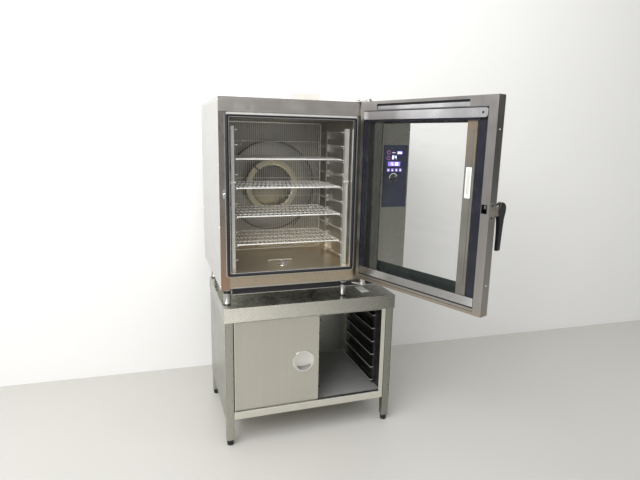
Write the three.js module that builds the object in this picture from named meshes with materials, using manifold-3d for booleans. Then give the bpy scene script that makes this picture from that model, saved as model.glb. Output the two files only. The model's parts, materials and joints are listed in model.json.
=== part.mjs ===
import * as THREE from 'three';
import { mergeVertices } from 'three/addons/utils/BufferGeometryUtils.js';
import Module from 'manifold-3d';

const wasm = await Module();
wasm.setup();

// A combi steamer oven with a glazed side-hung door, on a stainless stand with sliding doors.
// Millimetres, +Z up, the front faces -Y. Every span is written [low, high].
const SHEET = 1.5;
const GAP = 0.3;

// The oven body. Its own frame starts at the lower front left corner of the cabinet.
const OVEN = { at: [-6, 41.4, 791.8], width: 946, depth: 736.2, height: 883.2 };
const COVER_LIP = 20;
const HEADER_LOW = 821;
const POST = { width: 42, fold: 24 };
const SILL = { z: [12, 77], fold: 40 };
const COLUMN = { left: 664, skirt: 12, foot: 904, fold: 24 };
const BASE_PAN = { front: 20, rim: 14 };
const CAVITY = { x: [45, 644], z: [79, 799], depth: 568 };
const GASKET = { width: 15, proud: 7.2 };
const CONTROL_GLASS = { x: [806, 940], z: [377, 686], thickness: 4 };
const ELECTRONICS = { x: [798, 936], y: [12, 62], z: [384, 680] };
const KNOB = { x: 866, z: 524, skirt: 22, radius: 17, length: 17, shaft: 4 };
const FAN = { x: 358, z: 442, radius: 144, rim: 28, y: [488, 548], sheet: 2, shaft: 8, nut: 16 };
const BLADE = { count: 18, length: 46, sheet: 1.6, lean: 0.6 };
const FAN_HUB = { radius: 24, setBack: 12 };
const MOTOR = { radius: 55, flange: 72, plate: 4, length: 102, round: 8, seat: 30 };
const HEATER = { radius: 250, wire: 5, y: [500, 545], turns: 2.7, from: -Math.PI / 3, lead: 14, tail: 24 };
const GUARD = { x: [59, 630], z: [91, 790], y: 462, wire: 3, uprights: 11, rungs: 6 };
const INJECTOR = { from: [250, 560], to: [341, 463], y: 476, radius: 4, nozzle: 6.5 };
const DRAIN = { x: 330, y: 125, flange: 30, cup: 21, pipe: 20, bore: 17, run: -30, end: 758 };
const STRAINER_BAR = { y: 188, half: 62, rise: 9, wire: 2.5 };
const VENT = { x: [428, 586], y: [359, 443], z: [883.5, 943], duct: 34, wall: 1.2, rim: 14, skirt: 10 };
const VENT_AT = [(VENT.x[0] + VENT.x[1]) / 2, (VENT.y[0] + VENT.y[1]) / 2];
const FOOT = { x: [31, 622], y: [30, 530], height: 77.8, radius: 17, collar: 22, sole: 19, neck: 13 };
const INLET = { x: 820, z: 60, half: 20, y: [692, 731], thread: 13, end: 757 };
const INLET_COIL = { setBack: 18, radius: 14, rise: 34 };
const GLAND = { x: 884, z: 60, nut: 16, dome: 12, neck: 9, end: 762 };
const STRIKER = { x: 21.5, z: 452, plate: 8, neck: 4, head: 8, y: [-22, -17] };

// Rack supports and wire racks. The levels are counted from the cavity floor.
const LEVEL = { first: 137.2, pitch: 67.5, count: 10, loaded: [1, 3, 5, 7] };
const SUPPORT = { y: [35, 49], rear: [328, 336], top: 758, ledge: [40, 430], reach: 15, wire: 3 };
const SUPPORT_POST = { left: [59, 77], right: [611, 636] };
const SUPPORT_REAR = { left: [47, 66], right: [624, 643] };
const LEDGE_GAP = 15.3;
const RACK = { x: [79, 609], y: [49, 419], rim: 8, wire: 4, wires: 8, cross: 3 };

// The door, measured from its hinge edge, its lower edge and its inner face.
const DOOR = { width: 728.5, height: 854.9, low: 819.1, hinge: [28.8, 28], open: 110.66 };
const DOOR_AT = [693.6, 3.4];
const FRAME = { depth: 44.4, wall: 2, chamfer: 8, seat: 11.5 };
const FRAME_FACE = { s: [28, 690], z: [33, 809] };
const FRAME_WINDOW = { s: [46, 672], z: [50, 790] };
const RAIL_SLOT = { s: [111, 606], z: [815, 842] };
const LATCH_SLOT = { s: [692, 717], z: [412, 447] };
const OUTER_GLASS = { t: [44.7, 50.7], chamfer: 1 };
const INNER_GLASS = { s: [31, 689], z: [69, 772.7], t: [0, 5], hinge: [36, 3.5] };
const GLASS_PIN = { radius: 3, bore: 3.4 };
const TOP_BAR = { z: [773, 808.7], t: [-2, 9], nose: 12 };
const BOTTOM_BAR = { z: [33.3, 68.7], t: [-2, 9] };
const LED = { hinge: [89, 135], latch: [593, 639], t: [14, 24], setIn: 12, short: 60 };
const HANDLE = { pivot: [75, 428], s: [714, 736], bevel: 3, slot: 4.4, boss: 9, slim: 0.68, z: [262, 400] };
const BRACKET = { s: [728.8, 731.8], z: [388, 456], t: [3, 56], waist: [404, 440] };
const HOOK = { pivot: [30, 424.7], s: [702.5, 711.5], boss: 7, top: 444, arm: 437, tip: 429.5 };
const HOOK_NOSE = { t: [0.5, 5.5] };
const PIVOT = { pin: 8, bore: 8.4, collar: 14, head: 11, plate: 6 };
const HINGE_PLATE = { x: [656, 726], tip: 18, upper: 28, lower: 78 };

// The stand.
const STAND = { width: 882, depth: 598, height: 714, lip: 71 };
const LEG = { inset: [4, 8], side: 38, low: 28.5, foot: 15, stud: 7, rim: 8, cone: 14 };
const CABINET = { floor: 165, low: 137, wall: 0.6, front: 10, notch: 0.3 };
const CABINET_FRONT = { x: [42.6, 839.4], z: [137, 642], opening: [50, 815], rail: 175 };
const DOOR_GUIDE = { z: 636, back: 44 };
const SLIDER = { x: [46, 476], z: [167.2, 633], front: [18, 29], rear: [31, 42], sheet: 1.2 };
const CUP = { z: 400, front: 396, rear: 126, rim: 57, hole: 49.6, mouth: 48, floor: 40, depth: 8.6,
  sheet: 0.7 };
const RUNNER = { y: [115, 500], first: 191, pitch: 75.2, count: 6, reach: 27, web: 9, upstand: 18 };
const UPRIGHT = { wide: 20, deep: 10, setIn: 6, above: 10 };
const RUNNER_SIDE = { left: 493, right: 837.9 };

const CORNERS = [['front_left', 0, 0], ['front_right', 1, 0], ['rear_left', 0, 1], ['rear_right', 1, 1]];

function paint(colour, metalness, roughness) {
  return new THREE.MeshStandardMaterial({ color: colour, metalness, roughness });
}

const STEEL = paint(0xb9b7ad, 0.9, 0.4);
const BRIGHT = paint(0xdcdcd6, 1.0, 0.25);
const LINER = paint(0x8d8a7c, 0.9, 0.35);
const CAST = paint(0x6f7072, 0.6, 0.5);
const BLACK = paint(0x17181b, 0.1, 0.5);
const RUBBER = paint(0x15171f, 0.0, 0.7);
const GLASS = paint(0xa9c0b8, 0.1, 0.1);
const PANEL_GLASS = paint(0x1b1430, 0.2, 0.1);
const LAMP = paint(0xf1f0e6, 0.1, 0.3);
const COPPER = paint(0xb9a468, 0.9, 0.4);

const AXES = {
  x: [new THREE.Vector3(0, 1, 0), new THREE.Vector3(0, 0, 1), new THREE.Vector3(1, 0, 0)],
  y: [new THREE.Vector3(0, 0, 1), new THREE.Vector3(1, 0, 0), new THREE.Vector3(0, 1, 0)],
  z: [new THREE.Vector3(1, 0, 0), new THREE.Vector3(0, 1, 0), new THREE.Vector3(0, 0, 1)],
};

function solid(geometry) {
  const bare = geometry.clone();
  bare.deleteAttribute('normal');
  bare.deleteAttribute('uv');
  const merged = mergeVertices(bare, 1e-4);
  return new wasm.Manifold(new wasm.Mesh({
    numProp: 3,
    vertProperties: merged.attributes.position.array,
    triVerts: new Uint32Array(merged.index.array),
  }));
}

function surface(body) {
  const mesh = body.getMesh();
  const shape = new THREE.BufferGeometry();
  shape.setAttribute('position', new THREE.BufferAttribute(mesh.vertProperties, mesh.numProp));
  shape.setIndex(new THREE.BufferAttribute(mesh.triVerts, 1));
  const faceted = shape.toNonIndexed();
  faceted.computeVertexNormals();
  return faceted;
}

function block(x, y, z) {
  const shape = new THREE.BoxGeometry(x[1] - x[0], y[1] - y[0], z[1] - z[0]);
  shape.translate((x[0] + x[1]) / 2, (y[0] + y[1]) / 2, (z[0] + z[1]) / 2);
  return solid(shape);
}

// An outline drawn square to one axis: (y, z) for x, (x, z) for y, (x, y) for z.
function plate(axis, outline, span) {
  const drawn = axis === 'y' ? outline.map(([x, z]) => [z, x]) : outline;
  const shape = new THREE.Shape(drawn.map(([a, b]) => new THREE.Vector2(a, b)));
  const body = new THREE.ExtrudeGeometry(shape, { depth: span[1] - span[0], bevelEnabled: false });
  body.translate(0, 0, span[0]);
  body.applyMatrix4(new THREE.Matrix4().makeBasis(...AXES[axis]));
  return solid(body);
}

function circle(centre, radius, sides) {
  const turn = (2 * Math.PI) / sides;
  return Array.from({ length: sides }, (_, i) => [
    centre[0] + radius * Math.cos(i * turn),
    centre[1] + radius * Math.sin(i * turn),
  ]);
}

function rod(axis, centre, radius, span, sides = 20) {
  return plate(axis, circle(centre, radius, sides), span);
}

// A profile of [radius, along] pairs, turned about a line parallel to y or z.
function turned(axis, centre, profile, sides = 32) {
  const shape = new THREE.LatheGeometry(profile.map(([r, a]) => new THREE.Vector2(r, a)), sides);
  if (axis === 'z') {
    shape.rotateX(Math.PI / 2);
    shape.translate(centre[0], centre[1], 0);
  } else {
    shape.translate(centre[0], 0, centre[1]);
  }
  return solid(shape);
}

// A round bar bent along a line of points, mitred at each corner.
function bentBar(points, radius, sides = 6) {
  const path = points.map((p) => new THREE.Vector3(...p));
  const legs = path.slice(1).map((p, i) => p.clone().sub(path[i]).normalize());
  const side = new THREE.Vector3(0, 0, 1);
  if (Math.abs(legs[0].z) > 0.9) side.set(1, 0, 0);
  side.addScaledVector(legs[0], -side.dot(legs[0])).normalize();
  const corners = [];
  path.forEach((point, i) => {
    const into = legs[Math.max(i - 1, 0)];
    const out = legs[Math.min(i, legs.length - 1)];
    const half = into.clone().add(out).normalize();
    const other = into.clone().cross(side);
    for (let j = 0; j < sides; j += 1) {
      const angle = (2 * Math.PI * j) / sides;
      const arm = side.clone().multiplyScalar(radius * Math.cos(angle));
      arm.addScaledVector(other, radius * Math.sin(angle));
      arm.addScaledVector(into, -arm.dot(half) / into.dot(half));
      corners.push(...point.clone().add(arm).toArray());
    }
    side.applyQuaternion(new THREE.Quaternion().setFromUnitVectors(into, out));
  });
  const last = path.length - 1;
  const faces = [];
  for (let i = 0; i < last; i += 1) {
    for (let j = 0; j < sides; j += 1) {
      const a = i * sides + j;
      const b = i * sides + ((j + 1) % sides);
      faces.push(a, b, b + sides, a, b + sides, a + sides);
    }
  }
  for (let j = 1; j < sides - 1; j += 1) {
    faces.push(0, j + 1, j, last * sides, last * sides + j, last * sides + j + 1);
  }
  const shape = new THREE.BufferGeometry();
  shape.setAttribute('position', new THREE.Float32BufferAttribute(corners, 3));
  shape.setIndex(faces);
  return solid(shape);
}

function join(...bodies) {
  return bodies.reduce((all, body) => all.add(body));
}

function cut(body, ...tools) {
  return tools.reduce((left, tool) => left.subtract(tool), body);
}

function grow([low, high], by) {
  return [low - by, high + by];
}

function evenly([low, high], count) {
  const step = (high - low) / (count - 1);
  return Array.from({ length: count }, (_, i) => low + i * step);
}

function add(group, name, body, material) {
  const mesh = new THREE.Mesh(surface(body), material);
  mesh.name = name;
  mesh.geometry.translate(...group.userData.origin.map((v) => -v));
  group.add(mesh);
}

// A group whose meshes are drawn in the frame of `parent`, and which turns about `origin`.
function assembly(name, parent, origin) {
  const group = new THREE.Group();
  group.name = name;
  group.position.set(...origin);
  group.userData.origin = origin;
  if (parent) parent.add(group);
  return group;
}

const part = new THREE.Group();
part.name = 'combi_steamer_on_stand';

// ---- Stand ----
function buildStand() {
  const stand = assembly('stand', part, [0, 0, 0]);
  const { width, depth, height, lip } = STAND;
  const shell = block([0, width], [0, depth], [height - lip, height]);
  const hollow = block([SHEET, width - SHEET], [SHEET, depth - SHEET], [0, height - SHEET]);
  add(stand, 'stand_top', cut(shell, hollow), STEEL);

  const legX = [LEG.inset[0], width - LEG.inset[0] - LEG.side];
  const legY = [LEG.inset[1], depth - LEG.inset[1] - LEG.side];
  for (const [label, i, j] of CORNERS) {
    const x = legX[i];
    const y = legY[j];
    const centre = [x + LEG.side / 2, y + LEG.side / 2];
    const tube = block([x, x + LEG.side], [y, y + LEG.side], [LEG.low, height - SHEET - GAP]);
    const bore = block(
      [x + SHEET, x + LEG.side - SHEET],
      [y + SHEET, y + LEG.side - SHEET],
      [LEG.low + LEG.foot, height],
    );
    const foot = turned('z', centre, [
      [0, 0], [LEG.foot, 0], [LEG.foot, LEG.rim], [LEG.stud, LEG.cone],
      [LEG.stud, LEG.low + 1], [0, LEG.low + 1],
    ], 16);
    add(stand, 'stand_leg_' + label, join(cut(tube, bore), foot), STEEL);
  }

  // Side and back panels run outside the legs and up inside the lips of the top.
  const { floor, low, wall, front, notch } = CABINET;
  const panelX = [SHEET + wall, width - SHEET - wall];
  const panelBack = legY[1] + LEG.side + notch + SHEET;
  const panels = cut(
    block(panelX, [legY[0], panelBack], [low, height - SHEET - notch]),
    block(grow(panelX, -SHEET), [0, panelBack - SHEET], [0, height]),
  );
  const legHoles = legX.flatMap((x) => legY.map((y) => block(
    grow([x, x + LEG.side], notch), grow([y, y + LEG.side], notch), [0, height],
  )));
  const outside = legX.map((x, i) => block(
    i ? [x, width] : [0, x + LEG.side], [0, legY[0] + LEG.side], [0, height],
  ));
  const shelf = cut(
    block(grow(panelX, -SHEET / 2), [front + SHEET / 2, panelBack - SHEET / 2], [floor, floor + SHEET]),
    ...legHoles,
    ...outside,
  );
  const face = CABINET_FRONT;
  const frontFrame = cut(
    block(face.x, [front, front + SHEET], face.z),
    block(face.opening, [0, front + 2 * SHEET], [face.rail, height]),
  );
  const guide = block(
    grow(face.x, -SHEET / 2), [front + SHEET / 2, DOOR_GUIDE.back], [DOOR_GUIDE.z, DOOR_GUIDE.z + SHEET],
  );
  add(stand, 'stand_cabinet', join(panels, shelf, frontFrame, guide), STEEL);

  for (const [label, y, cupX] of [['front', SLIDER.front, CUP.front], ['rear', SLIDER.rear, CUP.rear]]) {
    const slider = assembly('stand_door_' + label, stand, [SLIDER.x[0], y[0], SLIDER.z[0]]);
    const tray = cut(
      block(SLIDER.x, y, SLIDER.z),
      block(grow(SLIDER.x, -SLIDER.sheet), [y[0] + SLIDER.sheet, y[1] + 1], grow(SLIDER.z, -SLIDER.sheet)),
      rod('y', [cupX, CUP.z], CUP.hole, grow(y, 1), 28),
    );
    add(slider, 'sliding_door_' + label, tray, STEEL);
    const lipY = y[0] - GAP;
    const cup = turned('y', [cupX, CUP.z], [
      [0, lipY - CUP.sheet + CUP.depth],
      [CUP.floor - 1, lipY - CUP.sheet + CUP.depth],
      [CUP.mouth, lipY - CUP.sheet],
      [CUP.rim, lipY - CUP.sheet],
      [CUP.rim, lipY],
      [CUP.mouth + 1, lipY],
      [CUP.floor, lipY + CUP.depth],
      [0, lipY + CUP.depth],
    ], 28);
    add(slider, 'cup_pull_' + label, cup, BRIGHT);
  }

  const shelfZ = Array.from({ length: RUNNER.count }, (_, i) => RUNNER.first + i * RUNNER.pitch);
  const runnerTop = shelfZ[RUNNER.count - 1] + UPRIGHT.wide + UPRIGHT.above;
  const uprightY = [RUNNER.y[0] + UPRIGHT.setIn, RUNNER.y[1] - UPRIGHT.wide - UPRIGHT.setIn];
  for (const [label, wall, way] of [['left', RUNNER_SIDE.left, 1], ['right', RUNNER_SIDE.right, -1]]) {
    const span = (from, to) => [wall + way * from, wall + way * to].sort((a, b) => a - b);
    const uprights = uprightY.map((y) => block(
      span(0, UPRIGHT.deep), [y, y + UPRIGHT.wide], [floor + SHEET + GAP, runnerTop],
    ));
    const shelves = shelfZ.flatMap((z) => [
      block(span(RUNNER.web, RUNNER.reach), RUNNER.y, [z - SHEET, z]),
      block(span(RUNNER.web, RUNNER.web + SHEET), RUNNER.y, [z - SHEET, z + RUNNER.upstand]),
    ]);
    add(stand, 'runner_frame_' + label, join(...uprights, ...shelves), STEEL);
  }
}

// ---- Oven cabinet ----
const oven = assembly('oven', part, OVEN.at);
oven.userData.origin = [0, 0, 0];

function buildShell() {
  const { width, depth, height } = OVEN;
  const lipLow = height - COVER_LIP;
  const skin = [0, SHEET];
  const deep = [SHEET + GAP, depth];
  add(oven, 'left_side_panel', block(skin, deep, [0, lipLow - GAP]), STEEL);
  add(oven, 'right_side_panel', block([width - SHEET, width], deep, [0, lipLow - GAP]), STEEL);
  const rear = cut(
    block([SHEET + GAP, width - SHEET - GAP], [depth - SHEET, depth], [0, lipLow - GAP]),
    rod('y', [INLET.x, INLET.z], INLET.thread + 0.5, [depth - 10, depth + 10]),
    rod('y', [GLAND.x, GLAND.z], GLAND.neck + 0.5, [depth - 10, depth + 10]),
  );
  add(oven, 'rear_panel', rear, STEEL);

  const cover = cut(
    block([0, width], deep, [lipLow, height]),
    block([SHEET, width - SHEET], [0, depth - SHEET], [0, height - SHEET]),
    rod('z', VENT_AT, VENT.duct + 1, [height - 10, height + 10], 28),
  );
  add(oven, 'top_cover', cover, STEEL);

  const header = join(
    block([0, width], skin, [HEADER_LOW, height]),
    block([SHEET + GAP, width - SHEET - GAP], [0, 30], [HEADER_LOW, HEADER_LOW + SHEET]),
  );
  add(oven, 'front_header', header, STEEL);

  const belowHeader = HEADER_LOW - GAP;
  const post = join(
    block([0, POST.width], skin, [0, belowHeader]),
    block([POST.width - SHEET, POST.width], [0, POST.fold], [0, belowHeader]),
  );
  add(oven, 'left_front_post', post, STEEL);

  const sillX = [POST.width + GAP, COLUMN.left - GAP];
  const sill = join(
    block(sillX, skin, [SILL.z[0], SILL.z[1]]),
    block(sillX, [0, SILL.fold], [SILL.z[0], SILL.z[0] + SHEET]),
  );
  add(oven, 'front_sill', sill, STEEL);

  const column = [
    [COLUMN.left, COLUMN.skirt], [COLUMN.foot, COLUMN.skirt], [COLUMN.foot, 0], [width, 0],
    [width, belowHeader], [COLUMN.left, belowHeader],
  ];
  const fascia = cut(
    join(
      plate('y', column, skin),
      block([COLUMN.left, COLUMN.left + SHEET], [0, COLUMN.fold], [COLUMN.skirt, belowHeader]),
    ),
    block(grow(CONTROL_GLASS.x, GAP), [-5, 5], grow(CONTROL_GLASS.z, GAP)),
  );
  add(oven, 'control_column_fascia', fascia, STEEL);

  const tray = cut(
    block([SHEET + GAP, width - SHEET - GAP], [BASE_PAN.front, depth - SHEET - GAP], [0, BASE_PAN.rim]),
    block([4, width - 4], [BASE_PAN.front + SHEET, depth - 4], [SHEET, BASE_PAN.rim + 1]),
    rod('z', [DRAIN.x, DRAIN.y], DRAIN.pipe + 2, [-5, 5], 24),
  );
  const panNotch = block([0, POST.width + GAP], [0, POST.fold + GAP], [-1, BASE_PAN.rim + 1]);
  const sillNotch = block([0, width], [0, SILL.fold + GAP], [SILL.z[0] - GAP, BASE_PAN.rim + 1]);
  add(oven, 'base_pan', cut(tray, panNotch, sillNotch), CAST);
}

function heaterPath() {
  const at = (radius, angle, y) => [
    FAN.x + radius * Math.cos(angle), y, FAN.z + radius * Math.sin(angle),
  ];
  const steps = Math.round(HEATER.turns * 24);
  const coil = Array.from({ length: steps + 1 }, (_, i) => {
    const share = i / steps;
    const y = HEATER.y[0] + share * (HEATER.y[1] - HEATER.y[0]);
    return at(HEATER.radius, HEATER.from + 0.2 + share * HEATER.turns * 2 * Math.PI, y);
  });
  const end = HEATER.from + 0.28 + HEATER.turns * 2 * Math.PI;
  const wall = CAVITY.depth + HEATER.tail;
  const lead = HEATER.radius + HEATER.lead;
  return [
    at(lead, HEATER.from, wall), at(lead, HEATER.from, HEATER.y[0]), ...coil,
    at(HEATER.radius, end, HEATER.y[1] + 4), at(HEATER.radius, end, wall),
  ];
}

function buildCavity() {
  const { x, z, depth } = CAVITY;
  const coil = heaterPath();
  const holes = [coil[0], coil[coil.length - 1]];
  const back = [depth - 5, depth + 10];
  const liner = cut(
    join(
      block(grow(x, SHEET), [0, depth + SHEET], grow(z, SHEET)),
      block([POST.width + GAP, COLUMN.left - GAP], [0, SHEET], [SILL.z[1] + GAP, HEADER_LOW - GAP]),
    ),
    block(x, [-1, depth], z),
    rod('y', [FAN.x, FAN.z], FAN.shaft + 6, back),
    ...holes.map((p) => rod('y', [p[0], p[2]], HEATER.wire + 1.5, back, 12)),
    rod('y', INJECTOR.from, INJECTOR.radius + 1.5, back, 12),
    rod('z', [DRAIN.x, DRAIN.y], DRAIN.cup + 1, [z[0] - 5, z[0] + 5], 24),
    rod('z', VENT_AT, VENT.duct - 2, [z[1] - 5, z[1] + 5], 28),
  );
  add(oven, 'cavity_liner', liner, LINER);
  add(oven, 'heating_element', bentBar(coil, HEATER.wire), CAST);

  const seal = cut(
    block(grow(x, GASKET.width), [-GASKET.proud, -GAP], grow(z, GASKET.width)),
    block(x, [-20, 20], z),
  );
  add(oven, 'door_gasket', seal, RUBBER);

  const motorFront = depth + SHEET + GAP;
  const motorBack = motorFront + MOTOR.length;
  const motor = turned('y', [FAN.x, FAN.z], [
    [FAN.shaft + 1, motorFront], [MOTOR.flange, motorFront], [MOTOR.flange, motorFront + MOTOR.plate],
    [MOTOR.radius, motorFront + MOTOR.plate], [MOTOR.radius, motorBack - MOTOR.round],
    [MOTOR.radius - MOTOR.round, motorBack], [0, motorBack], [0, motorBack - MOTOR.seat],
    [FAN.shaft + 1, motorBack - MOTOR.seat], [FAN.shaft + 1, motorFront],
  ], 32);
  add(oven, 'fan_motor', motor, CAST);

  const fan = assembly('fan', oven, [FAN.x, FAN.y[0], FAN.z]);
  const shaft = join(
    rod('y', [FAN.x, FAN.z], FAN.shaft, [FAN.y[0] - 10, motorBack - MOTOR.seat - 4]),
    rod('y', [FAN.x, FAN.z], FAN.nut, [FAN.y[0] - 14, FAN.y[0] + 2], 6),
  );
  add(fan, 'fan_shaft', shaft, BRIGHT);

  const ring = cut(
    rod('y', [FAN.x, FAN.z], FAN.radius, [FAN.y[0], FAN.y[0] + FAN.sheet], 36),
    rod('y', [FAN.x, FAN.z], FAN.radius - FAN.rim, [FAN.y[0] - 5, FAN.y[0] + 5], 36),
  );
  const disc = rod('y', [FAN.x, FAN.z], FAN.radius, [FAN.y[1] - FAN.sheet, FAN.y[1]], 36);
  const hub = rod('y', [FAN.x, FAN.z], FAN_HUB.radius, [FAN.y[0] + FAN_HUB.setBack, FAN.y[1]], 24);
  const blades = Array.from({ length: BLADE.count }, (_, i) => {
    const blade = new THREE.BoxGeometry(BLADE.length, FAN.y[1] - FAN.y[0] - FAN.sheet, BLADE.sheet);
    blade.rotateY(BLADE.lean);
    blade.translate(FAN.radius - FAN.rim, 0, 0);
    blade.rotateY((2 * Math.PI * i) / BLADE.count);
    blade.translate(FAN.x, (FAN.y[0] + FAN.y[1]) / 2, FAN.z);
    return solid(blade);
  });
  const bore = rod('y', [FAN.x, FAN.z], FAN.shaft + GAP, [FAN.y[0] - 20, FAN.y[1] + 20]);
  add(fan, 'fan_wheel', cut(join(disc, hub, ring, ...blades), bore), COPPER);

  const bar = GUARD.wire;
  const bars = evenly(grow(GUARD.x, -bar / 2), GUARD.uprights).map((at) => block(
    grow([at, at], bar / 2), [GUARD.y - bar / 2, GUARD.y + bar / 2], GUARD.z,
  ));
  const rungs = evenly(grow(GUARD.z, -bar / 2), GUARD.rungs).map((at) => block(
    GUARD.x, [GUARD.y, GUARD.y + bar], grow([at, at], bar / 2),
  ));
  const stays = [GUARD.x[0] + 8, GUARD.x[1] - 8].flatMap((sx) => [GUARD.z[0], GUARD.z[1] - bar].map(
    (sz) => block([sx - 3, sx + 3], [GUARD.y, depth - GAP], [sz, sz + bar]),
  ));
  add(oven, 'fan_guard', join(...bars, ...rungs, ...stays), BRIGHT);

  const { from, to, y: run, radius, nozzle } = INJECTOR;
  const pipe = bentBar([
    [from[0], depth + 30, from[1]], [from[0], run, from[1]], [to[0], run, to[1]],
  ], radius, 8);
  add(oven, 'water_injector', join(pipe, rod('y', to, nozzle, [run - 6, run + 6], 14)), BRIGHT);

  const floor = z[0] + GAP;
  const basket = turned('z', [DRAIN.x, DRAIN.y], [
    [0, floor - 20], [DRAIN.cup - 1, floor - 20], [DRAIN.cup - 1, floor], [DRAIN.flange, floor],
    [DRAIN.flange - 2, floor + 3], [DRAIN.cup - 4, floor + 3], [DRAIN.cup - 4, floor - 18], [0, floor - 18],
  ], 28);
  const barZ = floor + STRAINER_BAR.rise;
  const grip = bentBar([
    [DRAIN.x - STRAINER_BAR.half, STRAINER_BAR.y, barZ],
    [DRAIN.x + STRAINER_BAR.half, STRAINER_BAR.y, barZ],
  ], STRAINER_BAR.wire, 8);
  const stem = bentBar([
    [DRAIN.x, DRAIN.y + DRAIN.flange - 4, floor + 2],
    [DRAIN.x, DRAIN.y + DRAIN.flange + 10, barZ - 1],
    [DRAIN.x, STRAINER_BAR.y, barZ - 1],
  ], STRAINER_BAR.wire, 8);
  add(oven, 'drain_strainer', join(basket, grip, stem), BRIGHT);

  const top = z[0] - SHEET - GAP;
  const route = (high, end) => [
    [DRAIN.x, DRAIN.y, high], [DRAIN.x, DRAIN.y, DRAIN.run + 18], [DRAIN.x, DRAIN.y + 18, DRAIN.run],
    [DRAIN.x, end, DRAIN.run],
  ];
  const drain = cut(
    join(
      bentBar(route(top, DRAIN.end), DRAIN.pipe, 16),
      rod('z', [DRAIN.x, DRAIN.y], DRAIN.flange, [top - 3, top], 24),
      rod('z', [DRAIN.x, DRAIN.y], DRAIN.cup + 4, [top - 26, top - 1], 24),
    ),
    bentBar(route(top + 1, DRAIN.end + 1), DRAIN.bore, 16),
    rod('z', [DRAIN.x, DRAIN.y], DRAIN.cup, [top - 23, top + 1], 24),
  );
  add(oven, 'drain_pipe', drain, CAST);
}

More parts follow.
